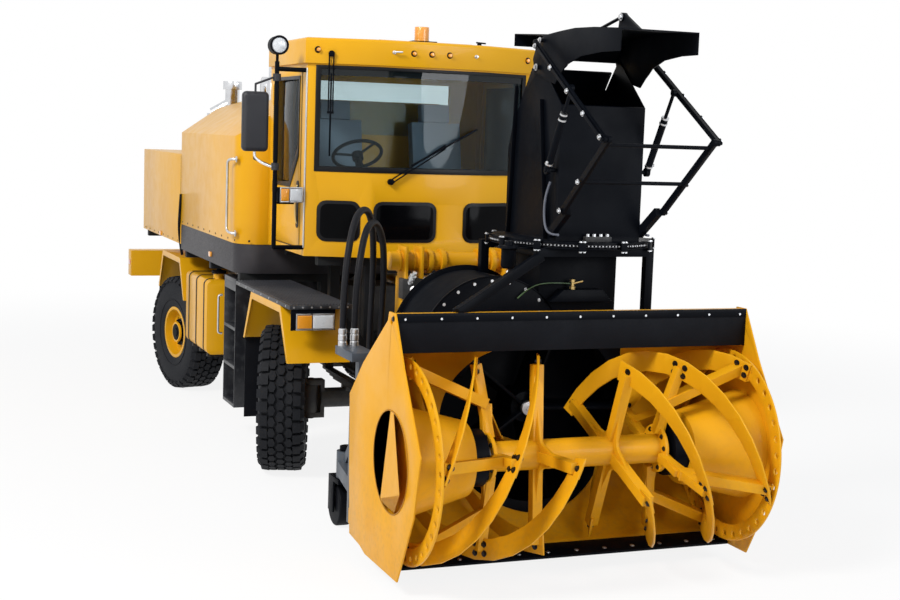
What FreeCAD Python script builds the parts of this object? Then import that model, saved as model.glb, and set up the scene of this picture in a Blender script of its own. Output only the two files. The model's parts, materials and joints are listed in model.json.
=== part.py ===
import FreeCAD, Part
import math
import os

# Self-propelled two stage snowblower: a four-wheel steered carrier truck with a cab, carrying a
# ribbon rotor (first stage) and an impeller with a swivelling chute (second stage) on lift arms.
# Millimetres, +Z up, the front looks along -Y.  The origin is on the ground, in the middle of
# the overall length and width.

V = FreeCAD.Vector
X_AXIS = V(1, 0, 0)
Y_AXIS = V(0, 1, 0)
Z_AXIS = V(0, 0, 1)

# ---------------------------------------------------------------- driving sizes
RUN_GAP = 0.3             # clearance where one body turns or slides in another
PANEL = 6.0               # sheet steel of the body panels
PLATE = 12.0              # plate of the blower head

# stations along the vehicle
CURTAIN_Y = -4934.0       # front face of the blower head's top beam
FRONT_AXLE_Y = CURTAIN_Y + 3370.0
WHEELBASE = 4230.0
REAR_AXLE_Y = FRONT_AXLE_Y + WHEELBASE
CAB_FRONT_Y = FRONT_AXLE_Y - 390.0
CAB_LENGTH = 1370.0
CAB_BACK_Y = CAB_FRONT_Y + CAB_LENGTH
HOOD_FRONT_Y = CAB_BACK_Y + 50.0
HOOD_LENGTH = 2670.0
HOOD_BACK_Y = HOOD_FRONT_Y + HOOD_LENGTH
REAR_BODY_LENGTH = 2340.0
REAR_BODY_BACK_Y = HOOD_BACK_Y + REAR_BODY_LENGTH
TAIL_Y = CURTAIN_Y + 10520.0
HITCH_Y = FRONT_AXLE_Y - 1070.0

# wheels
TYRE_R = 628.0
TYRE_W = 380.0
RIM_R = 262.0
RIM_WALL = 10.0
TRACK_HALF = 1094.0
KINGPIN_X = 865.0
KINGPIN_R = 30.0
HUB_R = 110.0
STEER_FRONT = -18.0       # degrees, the front wheels at rest are turned to the right-hand side
STEER_REAR = 12.0

# chassis
RAIL_X = 430.0
RAIL_W = 90.0
RAIL_H = 250.0
RAIL_TOP = 1100.0
RAIL_WALL = 9.0
CAST_WALL = 22.0          # walls of the engine block and the gear cases
TANK_WALL = 5.0
DECK_WALL = 4.0
RAIL_BACK_Y = TAIL_Y - 220.0
BODY_HALF = 1285.0
SILL_Z = 1600.0
SPRING_X = 530.0
SPRING_W = 80.0

# decks, fenders, tanks
DECK_TOP = 1535.0
DECK_FRONT_Y = CAB_FRONT_Y - 400.0
DECK_T = 35.0
FENDER_TOP = 1500.0
FENDER_IN_X = 760.0
FENDER_T = 5.0
REAR_FLAP_Y = REAR_AXLE_Y + 790.0
FLAP_TOP = 1100.0
FLAP_T = 12.0
TANK_TOP = 1400.0
TANK_BOTTOM = 650.0
TANK_FRONT_Y = FRONT_AXLE_Y + 2350.0
TANK_LENGTH = 1050.0

# engine hood and rear body
SKIRT_H = 270.0
HOOD_BOTTOM = SILL_Z + SKIRT_H
HOOD_EDGE = 2850.0        # where the sides of the hood bend into its sloping roof
HOOD_TOP = 3210.0
HOOD_BEND = 3120.0
HOOD_CORNER = 220.0
REAR_BODY_BOTTOM = 1650.0
REAR_BODY_TOP = 2620.0

# cab
CAB_HALF = 1016.0
CAB_FACET_X = 500.0
CAB_FACET_DEPTH = 180.0
CAB_FLOOR = 1880.0
CAB_BELT = 2600.0
CAB_WINDOW_TOP = 3480.0
CAB_TOP = 3690.0
CAB_WALL = 28.0
ROOF_OVER = 25.0
DOOR_FRONT = CAB_FRONT_Y + 330.0
DOOR_LENGTH = 900.0
DOOR_BACK = DOOR_FRONT + DOOR_LENGTH
DOOR_GAP = 4.0
GLASS_T = 6.0
LOW_WINDOW_Z = (2030.0, 2330.0)
LOW_WINDOWS = ((-900.0, -600.0), (-450.0, 70.0), (360.0, 880.0))

# mirrors
POST_X = 1270.0
POST_R = 19.0
POST_Y = CAB_FRONT_Y + 200.0
POST_BOTTOM = 1950.0
POST_TOP = 3480.0
MIRROR_H = 490.0
MIRROR_W = 220.0
MIRROR_D = 95.0
MIRROR_Z = 2985.0
MIRROR_REACH = 175.0
HINGE_X = CAB_HALF + 12.0
HINGE_Y = DOOR_BACK - 16.0
HINGE_R = 9.0

# blower head
HEAD_HALF = 1300.0        # outer faces of the side plates
ROTOR_Y = CURTAIN_Y + 20.0
ROTOR_Z = 840.0
ROTOR_R = 672.0
BARREL_R = 715.0          # inside radius of the housing around the rotor
HEAD_TOP = 1795.0
HEAD_FLOOR = 100.0        # the edges are carried this high on the casters
CURTAIN_T = 12.0
CURTAIN_LOW = 1545.0
TOP_BEAM_D = 80.0
EDGE_T = 18.0
HEAD_FRAME_Y = CURTAIN_Y + 905.0
HEAD_BEAM = 110.0

# rotor
SHAFT_R = 100.0
FLANGE_X = 620.0
FLANGE_R = 165.0
FLANGE_T = 24.0
SPIDER_X = 240.0
RING_X = 1195.0
RING_T = 14.0
RING_IN = 560.0
RING_HOLES = 36
RING_HOLE_R = 21.0
RIBBON_W = 140.0
RIBBON_T = 12.0
RIBBON_TURN = 190.0
RIBBON_START = 0.0        # degrees from the front, upward, of the first ribbon at its ring
RIBBON_COUNT = 4
ARM_W = 70.0
DRUM_IN_X = 800.0
DRUM_IN_R = 250.0
DRUM_OUT_R = 380.0
GEARBOX_R = 190.0
COVER_R = 338.0

# impeller and its housing
IMP_Z = 1000.0
IMP_R = 780.0
IMP_CASE_R = 860.0
IMP_CASE_Y = (CURTAIN_Y + 600.0, CURTAIN_Y + 1150.0)
IMP_BLADES = 5
MOUTH_R = 700.0
HUMP_X = -370.0
HUMP_Z = 1435.0
HUMP_R = 530.0

# chute
CHUTE_X = 270.0
CHUTE_Y = CURTAIN_Y + 750.0
CHUTE_HALF_W = 320.0
CHUTE_HALF_D = 430.0
CHUTE_T = 8.0
TURRET_Z = 2200.0
TURRET_R = 575.0
TURRET_T = 30.0
RING_GAP_Z = 0.5
DUCT_HALF = 300.0

# lift linkage
ARM_LENGTH = 880.0
ARM_X = 420.0
HITCH_PIN_Y = HITCH_Y - 150.0
HEAD_PIN_Y = HITCH_PIN_Y - ARM_LENGTH
LOW_PIN_Z = 700.0
TOP_PIN_Z = 1330.0
PIN_R = 32.0
CHEEK_T = 20.0
CHEEK_OUT = 75.0          # half width over a pair of hitch cheeks
PTO_Z = IMP_Z
PTO_BALL_R = 60.0
RAM_X = 230.0             # lift cylinders
RAM_PIN_R = 25.0
RAM_HALF = 72.0

# casters
CASTER_X = 1130.0
CASTER_Y = CURTAIN_Y + 1480.0
CASTER_R = 160.0
CASTER_W = 110.0
CASTER_TRAIL = 110.0


# ---------------------------------------------------------------- shape helpers
def box(x0, x1, y0, y1, z0, z1):
    return Part.makeBox(x1 - x0, y1 - y0, z1 - z0, V(x0, y0, z0))


def cyl_x(x0, x1, y, z, r):
    return Part.makeCylinder(r, x1 - x0, V(x0, y, z), X_AXIS)


def cyl_y(x, y0, y1, z, r):
    return Part.makeCylinder(r, y1 - y0, V(x, y0, z), Y_AXIS)


def cyl_z(x, y, z0, z1, r):
    return Part.makeCylinder(r, z1 - z0, V(x, y, z0), Z_AXIS)


def rod(p, q, r):
    a, b = V(*p), V(*q)
    return Part.makeCylinder(r, (b - a).Length, a, b - a)


def tube(p, q, r, wall):
    return rod(p, q, r).cut(rod(p, q, r - wall))


def bar(p, q, w, h, up=Z_AXIS):
    """Rectangular bar from p to q, w wide across and h high along `up`."""
    a, b = V(*p), V(*q)
    along = (b - a).normalize()
    side = along.cross(up).normalize()
    lift = side.cross(along)
    corners = [a + side * (s * w / 2) + lift * (t * h / 2) for s, t in
               ((-1, -1), (1, -1), (1, 1), (-1, 1))]
    face = Part.Face(Part.makePolygon(corners + corners[:1]))
    return face.extrude(b - a)


def prism(points, direction):
    """Solid swept from a flat polygon of 3-D points along a vector."""
    ring = [V(*p) for p in points]
    return Part.Face(Part.makePolygon(ring + ring[:1])).extrude(direction)


def prism_x(points, x0, x1):
    return prism([(x0, y, z) for y, z in points], V(x1 - x0, 0, 0))


def prism_y(points, y0, y1):
    return prism([(x, y0, z) for x, z in points], V(0, y1 - y0, 0))


def prism_z(points, z0, z1):
    return prism([(x, y, z0) for x, y in points], V(0, 0, z1 - z0))


def fuse(*shapes):
    whole = shapes[0]
    for shape in shapes[1:]:
        whole = whole.fuse(shape)
    return whole.removeSplitter()


def box_section(x0, x1, y0, y1, z0, z1, wall):
    """Closed box of plate, with a sealed space inside."""
    return box(x0, x1, y0, y1, z0, z1).cut(
        box(x0 + wall, x1 - wall, y0 + wall, y1 - wall, z0 + wall, z1 - wall))


def mirrored(shape):
    return shape.mirror(V(0, 0, 0), X_AXIS)


def both(shape):
    return [shape, mirrored(shape)]


def turned(shape, centre, axis, angle):
    copy = shape.copy()
    copy.rotate(V(*centre), axis, angle)
    return copy


def rounded(shape, radius, picks):
    edges = [e for e in shape.Edges if picks(e)]
    return shape.makeFillet(radius, edges) if edges else shape


def is_upright(edge):
    a, b = edge.Vertexes[0].Point, edge.Vertexes[-1].Point
    return abs(a.x - b.x) < 0.01 and abs(a.y - b.y) < 0.01


def revolved_x(profile, x_centre, y, z):
    """Ring turned about a line along X; the profile is (x, radius) pairs."""
    ring = [V(x_centre + x, y, z + r) for x, r in profile]
    face = Part.Face(Part.makePolygon(ring + ring[:1]))
    return face.revolve(V(x_centre, y, z), X_AXIS, 360)


def save(name, *shapes):
    solids = []
    for shape in shapes:
        items = shape if isinstance(shape, list) else [shape]
        for item in items:
            solids.extend(item.Solids)
    Part.makeCompound(solids).exportStep("parts/%s.step" % name)
    print("%-22s %3d solids" % (name, len(solids)))


# ---------------------------------------------------------------- chassis
def chassis_frame():
    rails = both(box_section(RAIL_X - RAIL_W / 2, RAIL_X + RAIL_W / 2, HITCH_Y, RAIL_BACK_Y,
                             RAIL_TOP - RAIL_H, RAIL_TOP, RAIL_WALL))
    inner = RAIL_X - RAIL_W / 2
    cross_y = [HITCH_Y, FRONT_AXLE_Y - 480, FRONT_AXLE_Y + 700, REAR_AXLE_Y - 900,
               REAR_AXLE_Y + 700, RAIL_BACK_Y - 100]
    crosses = [box_section(-inner, inner, y, y + 100, RAIL_TOP - 200, RAIL_TOP - 20, RAIL_WALL)
               for y in cross_y]
    frame = fuse(rails[0], rails[1], *crosses)
    frame = frame.cut(cyl_y(0, HITCH_Y - 1, FRONT_AXLE_Y + 900, PTO_Z, 60))
    solids = [frame]
    post = RAIL_W / 2
    for y in (CAB_FRONT_Y + 160, CAB_BACK_Y - 200):
        uprights = both(box(RAIL_X - post, RAIL_X + post, y, y + 90, RAIL_TOP, CAB_FLOOR - 80))
        beam = box(-CAB_HALF + 120, CAB_HALF - 120, y, y + 90, CAB_FLOOR - 80, CAB_FLOOR)
        solids.append(fuse(uprights[0], uprights[1], beam))
    engine_room = box(-inner, inner, HOOD_FRONT_Y, HOOD_BACK_Y, RAIL_TOP, SILL_Z + 1)
    for y in (HOOD_FRONT_Y + 60, HOOD_FRONT_Y + 1300, HOOD_BACK_Y - 150):
        solids.append(outrigger(y, SILL_Z).cut(engine_room))
    for y in (HOOD_BACK_Y + 160, REAR_BODY_BACK_Y - 160):
        solids.append(outrigger(y, REAR_BODY_BOTTOM))
    hanger_y = REAR_FLAP_Y + FLAP_T
    solids += both(box(RAIL_X + RAIL_W / 2, BODY_HALF - 20, hanger_y, hanger_y + 40,
                       FLAP_TOP - 50, FLAP_TOP))
    solids += rear_bumper()
    return solids


def outrigger(y, top):
    post = RAIL_W / 2
    uprights = both(box(RAIL_X - post, RAIL_X + post, y, y + 90, RAIL_TOP, top - 80))
    beam = box(-BODY_HALF + 40, BODY_HALF - 40, y, y + 90, top - 80, top)
    return fuse(uprights[0], uprights[1], beam)


def rear_bumper():
    beam = box(-BODY_HALF, BODY_HALF, RAIL_BACK_Y, TAIL_Y, 970, 1300)
    beam = beam.cut(box(-BODY_HALF + PLATE, BODY_HALF - PLATE, RAIL_BACK_Y + PLATE,
                        TAIL_Y - PLATE, 970 + PLATE, 1300 - PLATE))
    platform = box(-800, 800, REAR_BODY_BACK_Y + 20, RAIL_BACK_Y, RAIL_TOP, RAIL_TOP + 40)
    return [beam, platform]


def axle(y):
    """Driven steering axle: tube, differential case and a fork at each end for the kingpin."""
    fork_in = KINGPIN_X - 75
    body = cyl_x(-fork_in, fork_in, y, TYRE_R, 85)
    case = Part.makeSphere(210, V(0, y, TYRE_R))
    case = fuse(case, cyl_y(0, y - 260, y, TYRE_R, 90))
    parts = [body, case]
    for side in (-1, 1):
        x = side * KINGPIN_X
        block = box(min(x, x - side * 110), max(x, x - side * 110), y - 55, y + 55,
                    TYRE_R - 165, TYRE_R + 165)
        round_end = cyl_z(x, y, TYRE_R - 165, TYRE_R + 165, 55)
        fork = block.fuse(round_end)
        slot = box(x - 75, x + 75, y - 90, y + 90, TYRE_R - 120, TYRE_R + 120)
        keep = box(min(x - side * 75, x - side * 130), max(x - side * 75, x - side * 130),
                   y - 90, y + 90, TYRE_R - 130, TYRE_R + 130)
        fork = fork.cut(slot).fuse(keep.common(block))
        bore = cyl_z(x, y, TYRE_R - 170, TYRE_R + 170, KINGPIN_R + RUN_GAP)
        parts.append(fork.cut(bore))
    return fuse(*parts)


def leaf_spring(side, y):
    """Leaf stack on top of the axle, with end brackets up to the rail and two U-bolt plates."""
    x = side * SPRING_X
    base = TYRE_R + 85
    leaves = []
    for i, half in enumerate((320, 430, 540, 650)):
        z = base + 20 + i * 14
        leaves.append(box(x - SPRING_W / 2, x + SPRING_W / 2, y - half, y + half, z, z + 14))
    seat = box(x - SPRING_W / 2, x + SPRING_W / 2, y - 70, y + 70, TYRE_R + 60, base + 20)
    seat = seat.cut(cyl_x(x - SPRING_W, x + SPRING_W, y, TYRE_R, 85))
    top = base + 20 + 4 * 14
    ends = []
    for end in (-1, 1):
        centre = y + end * 610
        foot = box(x - SPRING_W / 2, x + SPRING_W / 2, centre - 40, centre + 40, top, top + 60)
        rail_face = side * (RAIL_X + RAIL_W / 2)
        web = box(min(rail_face, x + side * SPRING_W / 2), max(rail_face, x + side * SPRING_W / 2),
                  centre - 40, centre + 40, RAIL_TOP - RAIL_H + 10, RAIL_TOP - 60)
        ends.append(foot.fuse(web).removeSplitter())
    return [fuse(*leaves), seat] + ends


def axles_and_springs():
    solids = [axle(FRONT_AXLE_Y), axle(REAR_AXLE_Y)]
    for y in (FRONT_AXLE_Y, REAR_AXLE_Y):
        for side in (-1, 1):
            solids += leaf_spring(side, y)
    return solids


def engine_and_driveline():
    y0 = HOOD_FRONT_Y + 600
    inner = RAIL_X - RAIL_W / 2
    solids = []
    solids += [box(-inner, inner, y, y + 80, RAIL_TOP - 80, RAIL_TOP)
               for y in (y0 + 150, y0 + 1050)]
    block = box_section(-300, 300, y0, y0 + 1250, RAIL_TOP, 1760, CAST_WALL)
    heads = box_section(-240, 240, y0 + 60, y0 + 1180, 1760, 2080, CAST_WALL)
    pan = box_section(-210, 210, y0 + 260, y0 + 1020, 900, RAIL_TOP, PANEL)
    solids += [fuse(block, heads), pan]
    bell = cyl_y(0, y0 - 250, y0, 1330, 210)
    gearcase = box_section(-230, 230, y0 - 750, y0 - 250, 1080, 1500, CAST_WALL)
    solids.append(fuse(bell, gearcase))
    core = box_section(-900, 900, y0 + 1420, y0 + 1540, 1650, 2650, PANEL)
    feet = both(box(340, 420, y0 + 1420, y0 + 1540, RAIL_TOP, 1650))
    shroud = cyl_y(0, y0 + 1320, y0 + 1420, 2080, 420).cut(
        cyl_y(0, y0 + 1320 + PANEL, y0 + 1420 - PANEL, 2080, 420 - PANEL))
    solids += [core, shroud] + feet
    fan = fuse(cyl_y(0, y0 + 1250, y0 + 1320, 2080, 60), box(-30, 30, y0 + 1180, y0 + 1250, 1900, 2110))
    solids.append(fan)
    case_y = FRONT_AXLE_Y + 1150
    transfer = box_section(-inner, inner, case_y, case_y + 340, 700, 1080, CAST_WALL)
    solids.append(transfer)
    spare = fuse(axle(FRONT_AXLE_Y), axle(REAR_AXLE_Y), transfer)
    front_shaft = rod((0, FRONT_AXLE_Y + 150, TYRE_R), (0, case_y + 20, 780), 45).cut(spare)
    rear_shaft = rod((0, case_y + 320, 780), (0, REAR_AXLE_Y - 250, TYRE_R), 45).cut(spare)
    pto_tube = cyl_y(0, HITCH_PIN_Y + PTO_BALL_R + RUN_GAP, case_y, PTO_Z, 40)
    solids += [front_shaft, rear_shaft, pto_tube]
    return solids


INTAKE = (-600.0, HOOD_BACK_Y + 620.0, 3400.0)       # bend of the air intake pipe
CLEANER = (-330.0, HOOD_BACK_Y + 330.0, 3370.0)      # left end of the air cleaner's axis
STACK = (-240.0, HOOD_BACK_Y + 190.0, 3600.0)        # top of the exhaust stack


def hood_stacks():
    """Air intake elbow, lying air cleaner and exhaust stack behind the hood."""
    deck = REAR_BODY_TOP
    x, y, z = INTAKE
    riser = cyl_z(x, y, deck, z - 60, 80)
    hat = cyl_z(x, y, z - 60, z + 30, 105)
    arm = rod((x, y, z - 200), (x - 210, y + 60, z - 330), 62)
    foot = cyl_z(x - 210, y + 60, deck, z - 330, 62)
    x, y, z = CLEANER
    body = cyl_x(x, x + 560, y, z, 120)
    legs = [cyl_z(x + step, y, deck, z, 50) for step in (110, 450)]
    x, y, z = STACK
    pipe = cyl_z(x, y, deck, z, 55)
    guard = cyl_z(x, y, z - 620, z - 180, 82)
    cleaner = fuse(body, *legs)
    return [fuse(riser, hat, arm, foot), cleaner, fuse(pipe, guard).cut(cleaner)]


def hood_block(inset, low):
    """Plan of the hood with its round front corners, under the folded roof."""
    half = BODY_HALF - inset
    front, back = HOOD_FRONT_Y + inset, HOOD_BACK_Y - 1 - inset
    plan = rounded(box(-half, half, front, back, low, HOOD_TOP + 1), HOOD_CORNER - inset,
                   lambda e: is_upright(e) and e.Vertexes[0].Point.y < front + 1)
    side = [(half, low), (half, HOOD_EDGE - inset / 2), (900, HOOD_BEND - inset),
            (620, HOOD_TOP - inset)]
    section = side + [(-x, z) for x, z in reversed(side)]
    return plan.common(prism_y(section, front - 1, back + 1))


def engine_hood():
    return hood_block(0, HOOD_BOTTOM).cut(hood_block(PANEL, HOOD_BOTTOM - 1))


def skirts_and_flaps():
    inset = PANEL - 2
    thick = FLAP_T
    outer = box(-BODY_HALF + inset, BODY_HALF - inset, HOOD_FRONT_Y + inset,
                HOOD_BACK_Y - inset, SILL_Z, HOOD_BOTTOM)
    outer = rounded(outer, HOOD_CORNER, lambda e: is_upright(e)
                    and e.Vertexes[0].Point.y < HOOD_FRONT_Y + inset + 1)
    cut = box(-BODY_HALF + inset + thick, BODY_HALF - inset - thick,
              HOOD_FRONT_Y + inset + thick, HOOD_BACK_Y - inset - thick, SILL_Z - 1, HOOD_BOTTOM + 1)
    skirt = outer.cut(rounded(cut, HOOD_CORNER - thick, lambda e: is_upright(e)
                              and e.Vertexes[0].Point.y < HOOD_FRONT_Y + inset + thick + 1))
    flaps = []
    for y in (FRONT_AXLE_Y + 760, REAR_FLAP_Y):
        flaps += both(box(FENDER_IN_X + 20, BODY_HALF - 20, y, y + thick, 330, FLAP_TOP))
    return [skirt] + flaps


def rear_body():
    outer = box(-BODY_HALF, BODY_HALF, HOOD_BACK_Y + 1, REAR_BODY_BACK_Y,
                REAR_BODY_BOTTOM, REAR_BODY_TOP)
    cavity = box(-BODY_HALF + PANEL, BODY_HALF - PANEL, HOOD_BACK_Y + 1 + PANEL,
                 REAR_BODY_BACK_Y - PANEL, REAR_BODY_BOTTOM + PANEL, REAR_BODY_TOP - PANEL)
    return outer.cut(cavity)


def side_tanks():
    solids = []
    y0, y1 = TANK_FRONT_Y, TANK_FRONT_Y + TANK_LENGTH
    out = BODY_HALF - 10
    for side in (1,):
        tank = box(760, out, y0, y1, TANK_BOTTOM, TANK_TOP)
        tank = rounded(tank, 60, lambda e: abs(e.Vertexes[0].Point.y - e.Vertexes[-1].Point.y)
                       > TANK_LENGTH - 1)
        room = box(760 + TANK_WALL, out - TANK_WALL, y0 + TANK_WALL, y1 - TANK_WALL,
                   TANK_BOTTOM + TANK_WALL, TANK_TOP - TANK_WALL)
        tank = tank.cut(rounded(room, 60 - TANK_WALL, lambda e: abs(
            e.Vertexes[0].Point.y - e.Vertexes[-1].Point.y) > TANK_LENGTH - 2 * TANK_WALL - 1))
        neck = cyl_z(out - 150, y0 + 160, TANK_TOP, TANK_TOP + 55, 55)
        cap = cyl_z(out - 150, y0 + 160, TANK_TOP + 55, TANK_TOP + 85, 68)
        solids += [tank.fuse(neck).removeSplitter(), cap]
        for y in (y0 + 120, y0 + 480, y0 + 840):
            shelf = box(RAIL_X + RAIL_W / 2, out - 40, y, y + 60, TANK_BOTTOM - 40, TANK_BOTTOM)
            web = box(RAIL_X + RAIL_W / 2, 740, y, y + 60, TANK_BOTTOM - 40, RAIL_TOP - 40)
            solids.append(shelf.fuse(web).removeSplitter())
    return solids + [mirrored(s) for s in solids]


def fender(y, front):
    """Trapezoid arch over a wheel, carried by two brackets from the rail."""
    low = 1060.0
    top = FENDER_TOP
    half_top = 500.0
    half_low = 740.0 if not front else 760.0
    outer = [(y - half_low, low), (y - half_top, top), (y + half_top, top), (y + half_low, low)]
    t = FENDER_T
    inner = [(y - half_low + t * 1.5, low - 1), (y - half_top + t, top - t),
             (y + half_top - t, top - t), (y + half_low - t * 1.5, low - 1)]
    skin = prism_x(outer, FENDER_IN_X, BODY_HALF).cut(
        prism_x(inner, FENDER_IN_X - 1, BODY_HALF + 1))
    lip = prism_x([(y - half_low, low), (y - half_top, top), (y + half_top, top),
                   (y + half_low, low), (y + half_low - 45, low), (y + half_top - 30, top - 60),
                   (y - half_top + 30, top - 60), (y - half_low + 45, low)],
                  BODY_HALF - t, BODY_HALF)
    arch = skin.fuse(lip).removeSplitter()
    rail_face = RAIL_X + RAIL_W / 2
    brackets = [bar((rail_face - 2, y + s * 420, RAIL_TOP - 30),
                    (FENDER_IN_X + 40, y + s * 420, top - t - 30), 50, 60) for s in (-1, 1)]
    pads = [box(FENDER_IN_X, FENDER_IN_X + 80, y + s * 420 - 25, y + s * 420 + 25,
                top - t - 60, top - t) for s in (-1, 1)]
    trim = box(0, rail_face, y - 600, y + 600, 0, RAIL_TOP)
    holders = [b.cut(trim).fuse(p).removeSplitter() for b, p in zip(brackets, pads)]
    return [arch] + holders


def fenders():
    solids = fender(FRONT_AXLE_Y, True) + fender(REAR_AXLE_Y, False)
    return solids + [mirrored(s) for s in solids]


def ladder(y0, y1):
    """Hanging access steps between the front wheel and the side tank."""
    x0, x1 = 1060.0, BODY_HALF - 25
    rails = [box(x0, x1, y, y + 12, 330, 1420) for y in (y0, y1 - 12)]
    treads = [box(x0, x1, y0, y1, z, z + 30) for z in (330, 690, 1050)]
    arm = box_section(RAIL_X + RAIL_W / 2, x1, y0, y1, 1420, FENDER_TOP, DECK_WALL)
    leg = box_section(RAIL_X + RAIL_W / 2, RAIL_X + RAIL_W / 2 + 60, y0, y1, RAIL_TOP - 150,
                      1420, DECK_WALL)
    return fuse(*(rails + treads), arm, leg)


def decks_and_steps():
    solids = []
    deck_back = HOOD_FRONT_Y + 50
    deck = box_section(FENDER_IN_X, BODY_HALF, DECK_FRONT_Y, deck_back, FENDER_TOP, DECK_TOP,
                       DECK_WALL)
    solids.append(deck)
    step_y = HOOD_FRONT_Y + 160
    solids.append(ladder(step_y, step_y + 460))
    landing = box_section(RAIL_X + RAIL_W / 2, BODY_HALF - 25, step_y, step_y + 460,
                          FENDER_TOP, DECK_TOP, DECK_WALL)
    solids.append(landing)
    return solids + [mirrored(s) for s in solids]


def lamps():
    solids = []
    front = DECK_FRONT_Y + 10
    plate = box(900, 1270, front, front + 6, 1330, FENDER_TOP)
    low = box(930, 1240, front - 60, front, 1345, 1470)
    solids += both(low)
    solids += both(plate)
    high = box(1020 + 25, POST_X - POST_R - 2, POST_Y - 40, POST_Y + 40, 2330, 2450)
    solids += both(high)
    arm = rod((1020 + 25 + 60, POST_Y, 2320), (POST_X - POST_R, POST_Y, 2320), 10)
    solids += both(arm)
    for x in (-CAB_HALF + 70, -160, 0, 160, CAB_HALF - 70):
        y = visor_front_at(x, 16)
        solids.append(cyl_y(x, y - 22, y, 3590, 16))
    foot = box(-110, 110, CAB_FRONT_Y + 150, CAB_FRONT_Y + 330, CAB_TOP, CAB_TOP + 20)
    dome = cyl_z(0, CAB_FRONT_Y + 240, CAB_TOP + 20, CAB_TOP + 140, 62)
    solids += [foot, dome]
    return solids


def cab_front_at(x):
    """Y of the cab's outer front face at a given x, along the centre panel or an angled one."""
    side = abs(x)
    if side <= CAB_FACET_X:
        return CAB_FRONT_Y
    share = (side - CAB_FACET_X) / (CAB_HALF - CAB_FACET_X)
    return CAB_FRONT_Y + CAB_FACET_DEPTH * share


def visor_front_at(x, radius):
    """Y just in front of the roof's edge, clear of the slanted panel over a given radius."""
    slope = 0.0
    if abs(x) > CAB_FACET_X:
        slope = CAB_FACET_DEPTH / (CAB_HALF - CAB_FACET_X)
    return cab_front_at(x) - ROOF_OVER * math.sqrt(1 + slope * slope) - radius * slope


def cab_plan(grow):
    """Outline of the cab in plan, grown outwards by the given amount."""
    half = CAB_HALF + grow
    front = CAB_FRONT_Y - grow
    slope = CAB_FACET_DEPTH / (CAB_HALF - CAB_FACET_X)
    facet = CAB_FACET_X + grow * (math.sqrt(1 + slope * slope) - 1) / slope
    corner = front + (half - facet) * slope
    back = CAB_BACK_Y + min(grow, 0)
    return [(-half, back), (-half, corner), (-facet, front), (facet, front), (half, corner),
            (half, back)]


def cab_shell():
    shell = prism_z(cab_plan(0), CAB_FLOOR, CAB_WINDOW_TOP)
    shell = shell.cut(prism_z(cab_plan(-CAB_WALL), CAB_FLOOR + 60, CAB_WINDOW_TOP + 1))
    front_reach = CAB_FACET_DEPTH + 120
    screen = box(-CAB_HALF + 75, CAB_HALF - 75, CAB_FRONT_Y - 10, CAB_FRONT_Y + front_reach,
                 CAB_BELT, CAB_WINDOW_TOP - 20)
    shell = shell.cut(screen)
    for x0, x1 in LOW_WINDOWS:
        shell = shell.cut(box(x0, x1, CAB_FRONT_Y - 10, CAB_FRONT_Y + front_reach, *LOW_WINDOW_Z))
    door_hole = box(CAB_HALF - CAB_WALL - 5, CAB_HALF + 5, DOOR_FRONT, DOOR_BACK,
                    CAB_FLOOR + 60, CAB_WINDOW_TOP - 40)
    back_window = box(-700, 700, CAB_BACK_Y - CAB_WALL - 5, CAB_BACK_Y + 5, 2900, 3380)
    shell = shell.cut(door_hole).cut(mirrored(door_hole)).cut(back_window)
    roof = prism_z(cab_plan(ROOF_OVER), CAB_WINDOW_TOP, CAB_TOP)
    roof = roof.cut(prism_z(cab_plan(-CAB_WALL), CAB_WINDOW_TOP - 1, CAB_TOP - 40))
    roof = rounded(roof, 25, lambda e: min(v.Point.z for v in e.Vertexes) > CAB_TOP - 1)
    lugs = door_lugs()
    shell = fuse(shell, *(lugs + [mirrored(lug) for lug in lugs]))
    return [shell, roof]


def cab_glass():
    """Windscreen in three panes, the three low front windows and the back window."""
    band = prism_z(cab_plan(-12), CAB_FLOOR, CAB_WINDOW_TOP).cut(
        prism_z(cab_plan(-12 - GLASS_T), CAB_FLOOR - 1, CAB_WINDOW_TOP + 1))
    reach = CAB_FACET_DEPTH + 100
    screen = band.common(box(-CAB_HALF + 75, CAB_HALF - 75, CAB_FRONT_Y, CAB_FRONT_Y + reach,
                             CAB_BELT, CAB_WINDOW_TOP - 20))
    panes = [screen]
    for x0, x1 in LOW_WINDOWS:
        panes.append(band.common(box(x0, x1, CAB_FRONT_Y, CAB_FRONT_Y + reach, *LOW_WINDOW_Z)))
    panes.append(box(-700, 700, CAB_BACK_Y - 30, CAB_BACK_Y - 30 + GLASS_T, 2900, 3380))
    return panes


def seat(x):
    floor = CAB_FLOOR + 60
    y = CAB_FRONT_Y + 560
    base = box(x - 180, x + 180, y + 60, y + 420, floor, floor + 300)
    cushion = box(x - 250, x + 250, y, y + 480, floor + 300, floor + 440)
    cushion = rounded(cushion, 40, lambda e: True)
    back = bar((x, y + 462, floor + 400), (x, y + 590, floor + 1080), 470, 110, Y_AXIS)
    back = back.cut(cushion)
    head = bar((x, y + 592, floor + 1090), (x, y + 620, floor + 1250), 270, 90, Y_AXIS)
    stalk = bar((x, y + 585, floor + 1060), (x, y + 592, floor + 1095), 60, 30, Y_AXIS)
    return [base, cushion, fuse(back, stalk, head)]


STEER_X = -480.0
STEER_TILT = 35.0
STEER_Y = CAB_FRONT_Y + 430.0
STEER_Z = 2700.0


def steer_point(distance):
    """Point along the steering column, measured up from the hub of the wheel."""
    tilt = math.radians(STEER_TILT)
    return (STEER_X, STEER_Y + distance * math.sin(tilt), STEER_Z + distance * math.cos(tilt))


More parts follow.
